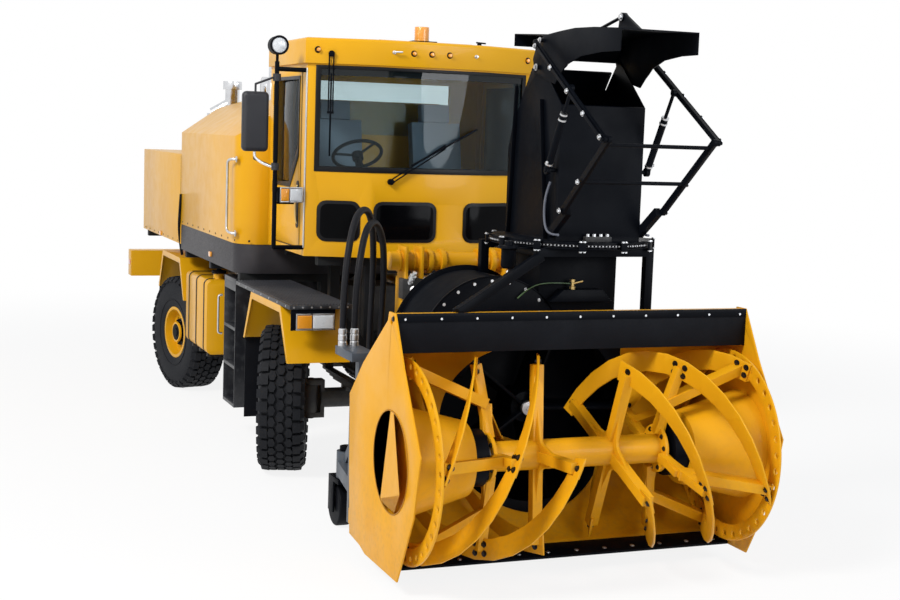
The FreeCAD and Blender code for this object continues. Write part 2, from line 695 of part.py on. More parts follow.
def cab_interior():
    floor = CAB_FLOOR + 60
    dash = prism_x([(CAB_FRONT_Y + 215, floor + 300), (CAB_FRONT_Y + 215, CAB_BELT - 20),
                    (CAB_FRONT_Y + 350, CAB_BELT + 30), (CAB_FRONT_Y + 420, CAB_BELT - 90),
                    (CAB_FRONT_Y + 330, floor + 300)], -860, 860)
    feet = both(box(700, 760, CAB_FRONT_Y + 230, CAB_FRONT_Y + 320, floor, floor + 300))
    column = rod(steer_point(-330), steer_point(-11 - RUN_GAP), 32)
    dash = dash.fuse(column).removeSplitter()
    console = box(-70, 90, CAB_FRONT_Y + 560, CAB_FRONT_Y + 1000, floor, floor + 560)
    return [dash, console] + feet + seat(-480) + seat(480)


def steering_wheel():
    axis = V(*steer_point(1)) - V(*steer_point(0))
    rim = Part.makeTorus(210, 15, V(*steer_point(40)), axis)
    hub = Part.makeCylinder(48, 62, V(*steer_point(-11)), axis)
    centre = V(*steer_point(30))
    across = V(0, axis.z, -axis.y)
    spokes = []
    for angle in (-30, 90, 210):
        way = FreeCAD.Rotation(axis, angle).multVec(across)
        tip = V(*steer_point(40)) + way * 205
        spokes.append(rod(tuple(centre), tuple(tip), 11))
    return fuse(rim, hub, *spokes)


HINGE_LEVELS = (CAB_FLOOR + 180.0, CAB_WINDOW_TOP - 340.0)
HINGE_H = 90.0


def door_lugs():
    """Fixed hinge knuckles of the left-hand door, above the door's own knuckles."""
    lugs = []
    for z in HINGE_LEVELS:
        z0, z1 = z + HINGE_H + RUN_GAP, z + 2 * HINGE_H
        lugs.append(cyl_z(HINGE_X, HINGE_Y, z0, z1, HINGE_R).fuse(
            box(CAB_HALF, HINGE_X, HINGE_Y, DOOR_BACK + 40, z0, z1)).removeSplitter())
    return lugs


def cab_door():
    """Left-hand door: frame with its window, and the recessed handle trough."""
    inner = CAB_HALF - CAB_WALL
    z0, z1 = CAB_FLOOR + 60 + DOOR_GAP, CAB_WINDOW_TOP - 40 - DOOR_GAP
    y0, y1 = DOOR_FRONT + DOOR_GAP, DOOR_BACK - DOOR_GAP
    slab = box(inner + 8, CAB_HALF, y0, y1, z0, z1)
    window = prism_x([(y0 + 70, CAB_BELT + 120), (y0 + 330, CAB_BELT - 150),
                      (y1 - 80, CAB_BELT - 150), (y1 - 80, z1 - 70), (y0 + 70, z1 - 70)],
                     inner, CAB_HALF + 1)
    handle = box(CAB_HALF - 20, CAB_HALF + 1, y0 + 45, y0 + 95, 2120, 2480)
    frame = slab.cut(window).cut(handle)
    pane = prism_x([(y0 + 70, CAB_BELT + 120), (y0 + 330, CAB_BELT - 150),
                    (y1 - 80, CAB_BELT - 150), (y1 - 80, z1 - 70), (y0 + 70, z1 - 70)],
                   CAB_HALF - 22, CAB_HALF - 22 + GLASS_T)
    bar_handle = box(CAB_HALF - 14, CAB_HALF - 4, y0 + 60, y0 + 80, 2118, 2482)
    hinges = []
    for z in HINGE_LEVELS:
        hinges.append(cyl_z(HINGE_X, HINGE_Y, z, z + HINGE_H, HINGE_R))
        hinges.append(box(CAB_HALF, HINGE_X, HINGE_Y - 50, HINGE_Y, z, z + HINGE_H))
    trough = box(CAB_HALF - 30, CAB_HALF - 20, y0 + 40, y0 + 100, 2115, 2485)
    return [fuse(frame, trough, bar_handle, *hinges), pane]


def mirror_post():
    """Left-hand post: tube with an arm to the cab at each end and a work lamp bracket."""
    upright = rod((POST_X, POST_Y, POST_BOTTOM), (POST_X, POST_Y, POST_TOP), POST_R)
    low = rod((CAB_HALF, POST_Y, POST_BOTTOM), (POST_X, POST_Y, POST_BOTTOM), POST_R)
    high = rod((CAB_HALF, POST_Y, POST_TOP - 60), (POST_X, POST_Y, POST_TOP - 60), POST_R)
    knee = Part.makeSphere(POST_R, V(POST_X, POST_Y, POST_BOTTOM))
    stalk = rod((POST_X, POST_Y, POST_TOP), (POST_X, POST_Y, POST_TOP + 60), 12)
    lamp = cyl_y(POST_X, POST_Y - 55, POST_Y + 35, POST_TOP + 130, 75)
    return [fuse(upright, low, high, knee, stalk), lamp.cut(stalk)]


def mirror_head():
    """Left-hand mirror: head with two arms that clamp round the post."""
    x = POST_X + MIRROR_REACH
    y = POST_Y + 10
    head = box(x - MIRROR_W / 2, x + MIRROR_W / 2, y - MIRROR_D / 2, y + MIRROR_D / 2,
               MIRROR_Z - MIRROR_H / 2, MIRROR_Z + MIRROR_H / 2)
    head = rounded(head, 38, lambda e: True)
    parts = [head]
    for end in (-1, 1):
        z = MIRROR_Z + end * (MIRROR_H / 2 + 120)
        collar = cyl_z(POST_X, POST_Y, z - 30, z + 30, POST_R + 14)
        bore = cyl_z(POST_X, POST_Y, z - 31, z + 31, POST_R + RUN_GAP)
        tip = (x, y, MIRROR_Z + end * (MIRROR_H / 2 - 5))
        knee = (x, y, MIRROR_Z + end * (MIRROR_H / 2 + 60))
        arm = fuse(rod((POST_X + POST_R + 6, POST_Y, z), knee, 9), rod(knee, tip, 9),
                   Part.makeSphere(9, V(*knee)))
        parts.append(collar.fuse(arm).cut(bore))
    return fuse(*parts)


WIPER_UP_X = -830.0
WIPER_UP_Z = 3560.0
WIPER_LOW_X = -330.0
WIPER_LOW_Z = 2520.0


def wiper_upper():
    """Parallel-arm wiper hung from the visor, square to the slanted end of the screen."""
    out = ROOF_OVER + RUN_GAP
    boss = cyl_y(0, -out - 30, -out, 0, 26)
    reach = -480.0
    arms = [rod((s * 18, -out - 18, 0), (s * 18, -36, reach), 6) for s in (-1, 1)]
    link = bar((-28, -36, reach), (28, -36, reach), 14, 20)
    blade = box(-7, 7, -43, -16, reach - 360, reach + 320)
    wiper = fuse(boss, arms[0], arms[1], link, blade)
    facet = math.degrees(math.atan2(CAB_FACET_DEPTH, CAB_HALF - CAB_FACET_X))
    wiper.rotate(V(0, 0, 0), Z_AXIS, -facet)
    wiper.translate(V(WIPER_UP_X, cab_front_at(WIPER_UP_X), WIPER_UP_Z))
    return wiper


def wiper_lower():
    """Wiper on the panel below the screen, swung to the left-hand side at rest."""
    x = WIPER_LOW_X
    face = CAB_FRONT_Y
    boss = cyl_y(x, face - 34, face - RUN_GAP, WIPER_LOW_Z, 26)
    tip = (x + 470.0, face - 24, WIPER_LOW_Z + 300.0)
    arms = [rod((x, face - 24, WIPER_LOW_Z + s * 16), (tip[0], tip[1], tip[2] + s * 16), 6)
            for s in (-1, 1)]
    link = bar((tip[0], tip[1], tip[2] - 26), (tip[0], tip[1], tip[2] + 26), 14, 20, Y_AXIS)
    way = V(600, 0, 330).normalize()
    ends = [V(*tip) + way * s * 330 for s in (-1, 1)]
    blade = bar(tuple(ends[0]), tuple(ends[1]), 26, 14)
    return fuse(boss, arms[0], arms[1], link, blade)


def cheek_pair(x, half, front, back, low, high, pins):
    """Two upright plates with pin holes; `pins` holds (y, z, hole radius)."""
    plates = []
    for x0 in (x - half, x + half - CHEEK_T):
        plate = box(x0, x0 + CHEEK_T, front, back, low, high)
        for y, z, radius in pins:
            plate = plate.cut(cyl_x(x0 - 1, x0 + CHEEK_T + 1, y, z, radius))
        plates.append(plate)
    return plates


SHAFT_Z = 1930.0
SHAFT_Y = HITCH_Y - 110.0
CROSS_SHAFT_R = 75.0


def hitch_frame():
    """Front hitch on the rails: cheeks for the lift arms and cylinders, lift cross shaft."""
    solids = []
    hole = PIN_R + RUN_GAP
    back = box(-ARM_X - CHEEK_OUT, ARM_X + CHEEK_OUT, HITCH_Y - 30, HITCH_Y, 1080, 1800)
    parts = [back]
    for side in (-1, 1):
        x = side * ARM_X
        pins = [(HITCH_PIN_Y, LOW_PIN_Z, hole), (HITCH_PIN_Y, TOP_PIN_Z, hole)]
        parts += cheek_pair(x, CHEEK_OUT, HITCH_Y - 230, HITCH_Y - 30, 590, 2050, pins)
        parts.append(box(x - CHEEK_OUT, x + CHEEK_OUT, HITCH_Y - 30, HITCH_Y, 590, 1080))
        ram = [(CYL_TOP[0], CYL_TOP[1], RAM_PIN_R + RUN_GAP)]
        parts += cheek_pair(side * RAM_X, RAM_HALF, HITCH_Y - 200, HITCH_Y - 30, 1620, 1780, ram)
    shaft = cyl_x(-595, 595, SHAFT_Y, SHAFT_Z, CROSS_SHAFT_R)
    frame = fuse(*parts).cut(cyl_y(0, HITCH_Y - 31, HITCH_Y + 1, PTO_Z, 60)).cut(shaft)
    rings = [cyl_x(x, x + 40, SHAFT_Y, SHAFT_Z, CROSS_SHAFT_R + 25).cut(shaft)
             for x in (-290, -180, 140, 250)]
    bulkhead = box(-800, -ARM_X - CHEEK_OUT, HITCH_Y - 155, HITCH_Y - 75,
                   HOSE_END_Z - 60, HOSE_END_Z)
    return [frame, shaft, bulkhead] + rings


# ---------------------------------------------------------------- lift linkage
def lift_arms():
    """Pair of lower arms with their pins, tie tube and the lugs for the cylinders."""
    parts = []
    middle = (HITCH_PIN_Y + HEAD_PIN_Y) / 2
    for side in (-1, 1):
        x = side * ARM_X
        parts.append(box(x - 50, x + 50, HEAD_PIN_Y, HITCH_PIN_Y, LOW_PIN_Z - 55, LOW_PIN_Z + 55))
        for y in (HEAD_PIN_Y, HITCH_PIN_Y):
            parts.append(cyl_x(x - 50, x + 50, y, LOW_PIN_Z, 69))
            parts.append(cyl_x(x - CHEEK_OUT, x + CHEEK_OUT, y, LOW_PIN_Z, PIN_R))
        for x0 in (side * RAM_X - 55, side * RAM_X + 35):
            parts.append(box(x0, x0 + 20, CYL_LOW[0] - 40, CYL_LOW[0] + 40, LOW_PIN_Z, CYL_LOW[1] + 35))
        parts.append(cyl_x(side * RAM_X - 55, side * RAM_X + 55, CYL_LOW[0], CYL_LOW[1], 14))
    parts.append(cyl_x(-ARM_X, ARM_X, middle, LOW_PIN_Z, 50))
    return fuse(*parts)


def lift_links():
    """Pair of upper links; the head's pins pass their front eyes with clearance."""
    parts = []
    for side in (-1, 1):
        x = side * ARM_X
        link = box(x - 30, x + 30, HEAD_PIN_Y, HITCH_PIN_Y, TOP_PIN_Z - 35, TOP_PIN_Z + 35)
        link = fuse(link, cyl_x(x - 30, x + 30, HITCH_PIN_Y, TOP_PIN_Z, 60),
                    cyl_x(x - 30, x + 30, HEAD_PIN_Y, TOP_PIN_Z, 60),
                    cyl_x(x - CHEEK_OUT, x + CHEEK_OUT, HITCH_PIN_Y, TOP_PIN_Z, PIN_R))
        parts.append(link.cut(cyl_x(x - 31, x + 31, HEAD_PIN_Y, TOP_PIN_Z, PIN_R + 3)))
    middle = (HITCH_PIN_Y + HEAD_PIN_Y) / 2
    parts.append(cyl_x(-ARM_X + 30, ARM_X - 30, middle - 160, TOP_PIN_Z, 30))
    return fuse(*parts)


CYL_TOP = (HITCH_Y - 130.0, 1700.0)
CYL_LOW = ((HITCH_PIN_Y + HEAD_PIN_Y) / 2 + 10.0, LOW_PIN_Z + 100.0)
ROD_R = 28.0


def lift_point(x, share):
    """Point on the lift cylinder's line, from its top pin (0) to its low pin (1)."""
    y = CYL_TOP[0] + share * (CYL_LOW[0] - CYL_TOP[0])
    z = CYL_TOP[1] + share * (CYL_LOW[1] - CYL_TOP[1])
    return (x, y, z)


def lift_cylinders():
    solids = []
    for side in (-1, 1):
        x = side * RAM_X
        barrel = rod(lift_point(x, 0.02), lift_point(x, 0.60), 48)
        bore = rod(lift_point(x, 0.10), lift_point(x, 0.61), ROD_R + RUN_GAP)
        eye = cyl_x(x - 40, x + 40, CYL_TOP[0], CYL_TOP[1], 48)
        pin = cyl_x(x - RAM_HALF, x + RAM_HALF, CYL_TOP[0], CYL_TOP[1], RAM_PIN_R)
        solids.append(fuse(barrel.cut(bore), eye.cut(bore), pin))
    return solids


def lift_rods():
    """Cylinder rods; the arm's cross pin passes their open eye with clearance."""
    solids = []
    for side in (-1, 1):
        x = side * RAM_X
        stem = rod(lift_point(x, 0.36), lift_point(x, 0.96), ROD_R)
        eye = cyl_x(x - 30, x + 30, CYL_LOW[0], CYL_LOW[1], 44)
        hole = cyl_x(x - 31, x + 31, CYL_LOW[0], CYL_LOW[1], 14 + 11)
        solids.append(fuse(stem, eye).cut(hole))
    return solids


def pto_shaft():
    """Telescopic drive shaft with a ball joint at each end, between truck and head."""
    core = cyl_y(0, HEAD_PIN_Y, HITCH_PIN_Y, PTO_Z, 38)
    guard = cyl_y(0, HEAD_PIN_Y + 140, HITCH_PIN_Y - 160, PTO_Z, 58)
    balls = [Part.makeSphere(PTO_BALL_R, V(0, y, PTO_Z)) for y in (HEAD_PIN_Y, HITCH_PIN_Y)]
    return fuse(core, guard, *balls)


# ---------------------------------------------------------------- blower head
def head_point(angle, radius):
    """(y, z) at an angle from the rear of the rotor axis, upward."""
    a = math.radians(angle)
    return (ROTOR_Y + radius * math.cos(a), ROTOR_Z + radius * math.sin(a))


def barrel_shell(inner, outer, start, end, x0, x1):
    """Part of a tube about the rotor axis, between two angles from the rear, upward."""
    def at(angle, radius):
        y, z = head_point(angle, radius)
        return V(x0, y, z)
    middle = (start + end) / 2
    edges = [Part.Arc(at(start, outer), at(middle, outer), at(end, outer)).toShape(),
             Part.makeLine(at(end, outer), at(end, inner)),
             Part.Arc(at(end, inner), at(middle, inner), at(start, inner)).toShape(),
             Part.makeLine(at(start, inner), at(start, outer))]
    return Part.Face(Part.Wire(edges)).extrude(V(x1 - x0, 0, 0))


def head_housing():
    inner = HEAD_HALF - PLATE
    barrel = barrel_shell(BARREL_R, BARREL_R + PLATE, -72, 88, -inner, inner)
    mouth = cyl_y(0, ROTOR_Y + 100, ROTOR_Y + BARREL_R + 60, IMP_Z, MOUTH_R)
    barrel = barrel.cut(mouth)
    beam_y = CURTAIN_Y + CURTAIN_T
    low = ROTOR_Z + BARREL_R
    beam = box(-inner, inner, beam_y, beam_y + TOP_BEAM_D, low + 2, HEAD_TOP)
    hollow = box(-inner - 1, inner + 1, beam_y + PLATE, beam_y + TOP_BEAM_D - PLATE,
                 low + 2 + PLATE, HEAD_TOP - PLATE)
    beam = beam.cut(hollow)
    body = barrel.fuse(beam)
    for z in (260.0, 1075.0):
        body = body.fuse(box(-inner, inner, HEAD_FRAME_Y - HEAD_BEAM, HEAD_FRAME_Y,
                             z - HEAD_BEAM / 2, z + HEAD_BEAM / 2))
    case_hole = cyl_y(0, CURTAIN_Y + 300, IMP_CASE_Y[1] + 20, IMP_Z, IMP_CASE_R)
    body = body.cut(case_hole.cut(cylinder_about_rotor(BARREL_R + PLATE, inner + 1)))
    mounts = [head_mount(side) for side in (-1, 1)]
    return [body.removeSplitter()] + mounts


def head_mount(side):
    """Cheeks behind the impeller housing that take the lift arms, with the upper pin."""
    x = side * ARM_X
    back = IMP_CASE_Y[1]
    low, high = LOW_PIN_Z - 100, TOP_PIN_Z + 100
    pins = [(HEAD_PIN_Y, LOW_PIN_Z, PIN_R + RUN_GAP)]
    plates = cheek_pair(x, CHEEK_OUT, back, HEAD_PIN_Y + 90, low, high, pins)
    web = box(x - CHEEK_OUT, x + CHEEK_OUT, back, back + 20, low, high)
    pin = cyl_x(x - CHEEK_OUT, x + CHEEK_OUT, HEAD_PIN_Y, TOP_PIN_Z, PIN_R)
    return fuse(web, pin, *plates)




def cylinder_about_rotor(radius, half):
    return cyl_x(-half, half, ROTOR_Y, ROTOR_Z, radius)


SIDE_PROFILE = ((12, 1800), (130, 1800), (150, 1740), (630, 1390), (910, 1130), (880, 590), (840, 150),
                (610, 130), (490, 100), (-160, 100), (-430, 580), (-520, 980), (-180, 1470))


def side_plates():
    points = [(CURTAIN_Y + y, z) for y, z in SIDE_PROFILE]
    plate = prism_x(points, HEAD_HALF - PLATE, HEAD_HALF)
    plate = plate.cut(cyl_x(HEAD_HALF - PLATE - 1, HEAD_HALF + 1, ROTOR_Y, ROTOR_Z, COVER_R))
    eye = cyl_x(HEAD_HALF - PLATE - 1, HEAD_HALF + 1, CURTAIN_Y + 75, HEAD_TOP - 55, 20)
    return both(plate.cut(eye))


def edge_strips():
    """Rubber curtain on the top beam, and the bolted cutting edge under the rotor."""
    inner = HEAD_HALF - PLATE
    curtain = box(-inner, inner, CURTAIN_Y, CURTAIN_Y + CURTAIN_T, CURTAIN_LOW, HEAD_TOP + 5)
    edge = bar((0, ROTOR_Y + 45, HEAD_FLOOR + EDGE_T / 2), (0, ROTOR_Y + 212, HEAD_FLOOR + 50),
               2 * inner, EDGE_T)
    return [curtain, edge]


def impeller_housing():
    y0, y1 = IMP_CASE_Y
    wall = PLATE
    drum = cyl_y(0, y0, y1, IMP_Z, IMP_CASE_R)
    hump = cyl_y(HUMP_X, y0, y1, HUMP_Z, HUMP_R)
    duct_x = (CHUTE_X - DUCT_HALF, CHUTE_X + DUCT_HALF)
    duct = box(duct_x[0], duct_x[1], y0, y1, IMP_Z, TURRET_Z - 8)
    outer = fuse(drum, hump, duct)
    inside = fuse(cyl_y(0, y0 + wall, y1 - wall, IMP_Z, IMP_CASE_R - wall),
                  cyl_y(HUMP_X, y0 + wall, y1 - wall, HUMP_Z, HUMP_R - wall),
                  box(duct_x[0] + wall, duct_x[1] - wall, y0 + wall, y1 - wall, IMP_Z,
                      TURRET_Z + 1))
    shell = outer.cut(inside)
    clear = cylinder_about_rotor(BARREL_R + PLATE + 1, HEAD_HALF)
    shell = shell.cut(clear)
    front_mouth = cyl_y(0, y0 - 1, y0 + wall + 1, IMP_Z, MOUTH_R - 60)
    shell = shell.cut(front_mouth.common(cylinder_about_rotor(BARREL_R + 500, HEAD_HALF)))
    rim = fuse(cyl_y(HUMP_X, y1 - wall, y1, HUMP_Z, HUMP_R + 35),
               cyl_y(0, y1 - wall, y1, IMP_Z, IMP_CASE_R + 35)).cut(inside).cut(outer)
    shell = shell.fuse(rim)
    gearbox = cyl_y(0, y1, HEAD_PIN_Y - PTO_BALL_R - RUN_GAP, PTO_Z, 190)
    bore = cyl_y(0, y1 - wall - 1, y1 + 41, IMP_Z, 45 + RUN_GAP)
    return [shell.cut(bore).removeSplitter(), gearbox.cut(bore)]


def impeller():
    y0, y1 = IMP_CASE_Y[0] + 165.0, IMP_CASE_Y[1] - PLATE - 20.0
    hub = cyl_y(0, y0 + 60, y1, IMP_Z, 110)
    nose = cyl_y(0, y0 + 20, y0 + 60, IMP_Z, 55)
    disc = cyl_y(0, y1 - 16, y1, IMP_Z, IMP_R - 20)
    stub = cyl_y(0, y1, IMP_CASE_Y[1] + 40, IMP_Z, 45)
    blades = []
    for i in range(IMP_BLADES):
        blade = box(-10, 10, y0, y1, IMP_Z + 60, IMP_Z + IMP_R)
        blades.append(turned(blade, (0, 0, IMP_Z), Y_AXIS, 360.0 / IMP_BLADES * i + 20))
    return fuse(hub, nose, disc, stub, *blades)


def chute_frame():
    """Black tube table on the head that carries the turret of the chute."""
    size = 60.0
    y0 = CHUTE_Y - 420
    y1 = IMP_CASE_Y[1] + size
    beam_back = CURTAIN_Y + CURTAIN_T + TOP_BEAM_D
    top = TURRET_Z - 8
    x0, x1 = CHUTE_X - 440, CHUTE_X + 450
    parts = [box(x0, x1, y0, y0 + size, top - size, top),
             box(x0, x1, y1 - size, y1, top - size, top),
             box(x0, x0 + size, y0, y1, top - size, top),
             box(x1 - size, x1, y0, y1, top - size, top)]
    table = fuse(*parts)
    hole = cyl_z(CHUTE_X, CHUTE_Y, top - 1, top + 9, 400)
    plate = cyl_z(CHUTE_X, CHUTE_Y, top, top + 8, TURRET_R).cut(hole)
    right = box(x1 - size, x1, y0, y0 + size, ROTOR_Z + BARREL_R / 2, top - size)
    right = right.cut(cylinder_about_rotor(BARREL_R + PLATE + RUN_GAP, HEAD_HALF))
    post_y = IMP_CASE_Y[1] - 80
    post = box(x0 - 110, x0 - 110 + size, post_y, post_y + size, HUMP_Z, top - size)
    post = post.cut(cyl_y(HUMP_X, post_y - 1, y1, HUMP_Z, HUMP_R + RUN_GAP))
    arm = box(x0 - 110, x0 + size, post_y, post_y + size, top - size, top)
    left = bar((x0 + size / 2, y0 + size / 2, top - size),
               (-860, beam_back - size / 2, HEAD_TOP - 2), size, size, Y_AXIS)
    trim = box(-2000, 2000, CURTAIN_Y - 200, CURTAIN_Y + 2000, 1000, HEAD_TOP)
    return [fuse(table, right, left.cut(trim), post, arm), plate]


def head_drives():
    """Fixed end drums that hold the rotor drives, their covers and the black gearboxes."""
    inner = HEAD_HALF - PLATE
    wall = 10.0
    cone = Part.makeCone(DRUM_IN_R, DRUM_OUT_R, inner - DRUM_IN_X,
                         V(DRUM_IN_X, ROTOR_Y, ROTOR_Z), X_AXIS)
    hollow = Part.makeCone(DRUM_IN_R - wall, DRUM_OUT_R - wall, inner - DRUM_IN_X - wall,
                           V(DRUM_IN_X + wall, ROTOR_Y, ROTOR_Z), X_AXIS)
    shell = cone.cut(hollow).cut(cyl_x(inner - 60, inner + 1, ROTOR_Y, ROTOR_Z, DRUM_OUT_R - 30))
    shell = shell.cut(cyl_x(DRUM_IN_X - 1, DRUM_IN_X + wall + 1, ROTOR_Y, ROTOR_Z, GEARBOX_R))
    cover = cyl_x(inner - 60, inner - 52, ROTOR_Y, ROTOR_Z, DRUM_OUT_R - 30)
    box_end = FLANGE_X + FLANGE_T + 40
    gearbox = cyl_x(box_end, inner - 60, ROTOR_Y, ROTOR_Z, GEARBOX_R)
    stub = cyl_x(FLANGE_X - 40, box_end, ROTOR_Y, ROTOR_Z, 60)
    return both(shell) + both(cover) + both(gearbox.fuse(stub))


def caster_frame():
    """Arm from the back of the head to the pivot of one caster, with its step."""
    top = 520.0
    inner = HEAD_HALF - PLATE
    arm = prism_z([(inner - 150, HEAD_FRAME_Y), (inner, HEAD_FRAME_Y),
                   (CASTER_X + 70, CASTER_Y), (CASTER_X - 70, CASTER_Y)], top - 110, top)
    foot = box(inner - 220, inner, HEAD_FRAME_Y, HEAD_FRAME_Y + 40, 205, 1130)
    brace = bar((inner - 90, HEAD_FRAME_Y + 20, 900), (CASTER_X, CASTER_Y - 20, top - 20),
                60, 60, X_AXIS)
    head = cyl_z(CASTER_X, CASTER_Y, top - 130, top + 70, 72)
    bore = cyl_z(CASTER_X, CASTER_Y, top - 131, top + 300, 32 + RUN_GAP)
    return fuse(arm, foot, brace, head).cut(bore)


def hose_stand():
    """Bracket on the right-hand caster frame that carries the lower hose fittings."""
    inner = HEAD_HALF - PLATE
    post = box(-inner + 60, -inner + 130, HEAD_FRAME_Y + 40, HEAD_FRAME_Y + 110, 700, HOSE_LOW_Z)
    arm = box(-inner + 10, -1100, HEAD_FRAME_Y + 40, HOSE_Y + 45, HOSE_LOW_Z - 60, HOSE_LOW_Z)
    return fuse(post, arm)


def caster_fork():
    y = CASTER_Y + CASTER_TRAIL
    half = CASTER_W / 2 + 12
    stem = cyl_z(CASTER_X, CASTER_Y, 370, 630, 32)
    crown = box(CASTER_X - half - 14, CASTER_X + half + 14, CASTER_Y - 75, y + 60, 350, 385)
    legs = [box(CASTER_X + s * (half + 7) - 7, CASTER_X + s * (half + 7) + 7, y - 60, y + 60,
                CASTER_R - 45, 350) for s in (-1, 1)]
    axle_pin = cyl_x(CASTER_X - half - 14, CASTER_X + half + 14, y, CASTER_R, 16)
    nut = cyl_z(CASTER_X, CASTER_Y, 592, 625, 50)
    return fuse(stem, crown, nut, *(legs + [axle_pin]))


def caster_wheel():
    y = CASTER_Y + CASTER_TRAIL
    half = CASTER_W / 2
    wheel = cyl_x(CASTER_X - half, CASTER_X + half, y, CASTER_R, CASTER_R)
    wheel = rounded(wheel, 18, lambda e: e.Closed)
    return wheel.cut(cyl_x(CASTER_X - half - 1, CASTER_X + half + 1, y, CASTER_R, 16 + RUN_GAP))


# ---------------------------------------------------------------- rotor
def rotor_angle(angle, radius):
    """(y, z) at an angle from the front of the rotor axis, upward."""
    a = math.radians(angle)
    return (ROTOR_Y - radius * math.cos(a), ROTOR_Z + radius * math.sin(a))


def ribbon_start(index, side):
    return RIBBON_START + index * 360.0 / RIBBON_COUNT + (0.0 if side < 0 else -25.0)


def ribbon_point(index, side, share, radius):
    """Point on a ribbon: share 0 is at the end ring, share 1 at the middle of the rotor."""
    y, z = rotor_angle(ribbon_start(index, side) + RIBBON_TURN * share, radius)
    start = RING_X - RING_T / 2 - RIBBON_T / 2
    x = side * (start + (SPIDER_X - start) * share)
    return V(x, y, z)


def ribbon(index, side):
    """Helical band made of short flat facets from the end ring to the middle."""
    steps = 14
    r_in, r_out = ROTOR_R - RIBBON_W, ROTOR_R
    lift = V(RIBBON_T / 2, 0, 0)
    sections = []
    for i in range(steps + 1):
        inner = ribbon_point(index, side, i / steps, r_in)
        outer = ribbon_point(index, side, i / steps, r_out)
        loop = [inner - lift, outer - lift, outer + lift, inner + lift]
        sections.append(Part.makePolygon(loop + loop[:1]))
    return Part.makeLoft(sections, True, True)


def end_ring(side):
    x = side * RING_X
    ring = cyl_x(x - RING_T / 2, x + RING_T / 2, ROTOR_Y, ROTOR_Z, ROTOR_R)
    ring = ring.cut(cyl_x(x - RING_T, x + RING_T, ROTOR_Y, ROTOR_Z, RING_IN))
    for i in range(RING_HOLES):
        y, z = rotor_angle(i * 360.0 / RING_HOLES + 5, ROTOR_R - 45)
        ring = ring.cut(cyl_x(x - RING_T, x + RING_T, y, z, RING_HOLE_R))
    return ring


def rotor_shaft():
    """Centre tube with flanges, two spiders in the middle and the sloping arms to the rings."""
    parts = [cyl_x(-FLANGE_X, FLANGE_X, ROTOR_Y, ROTOR_Z, SHAFT_R)]
    for side in (-1, 1):
        x = side * FLANGE_X
        parts.append(cyl_x(min(x, x + side * FLANGE_T), max(x, x + side * FLANGE_T), ROTOR_Y,
                           ROTOR_Z, FLANGE_R))
        for i in range(RIBBON_COUNT):
            parts.append(middle_arm(i, side))
            parts.append(outer_arm(i, side))
            parts.append(mid_arm(i, side))
    whole = fuse(*parts)
    stub_hole = cyl_x(FLANGE_X - 60, FLANGE_X + FLANGE_T + 1, ROTOR_Y, ROTOR_Z, 60 + RUN_GAP)
    other = cyl_x(-FLANGE_X - FLANGE_T - 1, -FLANGE_X + 60, ROTOR_Y, ROTOR_Z, 60 + RUN_GAP)
    return whole.cut(stub_hole).cut(other)


def middle_arm(index, side):
    """Arm of the centre spider out to the inner end of one ribbon."""
    angle = ribbon_start(index, side) + RIBBON_TURN - 6
    x = side * (SPIDER_X + 34)
    y0, z0 = rotor_angle(angle, SHAFT_R - 20)
    y1, z1 = rotor_angle(angle, ROTOR_R - 70)
    arm = bar((x, y0, z0), (x, y1, z1), ARM_W, ARM_W, X_AXIS)
    return arm


def mid_arm(index, side):
    """Stay from the flange to the ribbon halfway along it."""
    share = 0.52
    tip = ribbon_point(index, side, share, ROTOR_R - 60)
    angle = ribbon_start(index, side) + RIBBON_TURN * share
    y, z = rotor_angle(angle, FLANGE_R - 40)
    return bar((side * (FLANGE_X - 10), y, z), tuple(tip), 60, 60, X_AXIS)


def outer_arm(index, side):
    """Sloping arm from the flange, past the fixed drum, to the end ring."""
    angle = ribbon_start(index, side) + 8
    y0, z0 = rotor_angle(angle, FLANGE_R - 30)
    y1, z1 = rotor_angle(angle, 350)
    y2, z2 = rotor_angle(angle, 610)
    ring_face = side * (RING_X - RING_T / 2)
    knee = (side * (FLANGE_X + 10), y1, z1)
    rise = bar((side * (FLANGE_X + 10), y0, z0), knee, ARM_W - 22, ARM_W, X_AXIS)
    run = bar(knee, (ring_face, y2, z2), ARM_W, ARM_W, V(0, y1 - ROTOR_Y, z1 - ROTOR_Z))
    beyond = cyl_x(min(ring_face, side * 2000), max(ring_face, side * 2000), ROTOR_Y, ROTOR_Z,
                   ROTOR_R + 50)
    return rise.fuse(run).cut(beyond)


def rotor_rings():
    return [end_ring(-1), end_ring(1)]


def rotor_ribbons(shaft):
    return [ribbon(i, side).cut(shaft) for side in (-1, 1) for i in range(RIBBON_COUNT)]


# ---------------------------------------------------------------- chute
def chute_outline(shrink):
    """Side outline of the chute in (y, z): upright front, back wall that leans forward."""
    front = CHUTE_Y - CHUTE_HALF_D + shrink
    back = CHUTE_Y + CHUTE_HALF_D - shrink
    return front, back


def chute_solid(shrink, low, high_extra):
    front, back = chute_outline(shrink)
    half = CHUTE_HALF_W - shrink
    side = [(front, low), (back, low), (back, 2860), (back - 60, 3010), (back - 210, 3220),
            (back - 455 + shrink, 3500 + high_extra), (front, 3160 + high_extra)]
    return prism_x(side, CHUTE_X - half, CHUTE_X + half)


CHUTE_BASE = TURRET_Z + TURRET_T + RING_GAP_Z


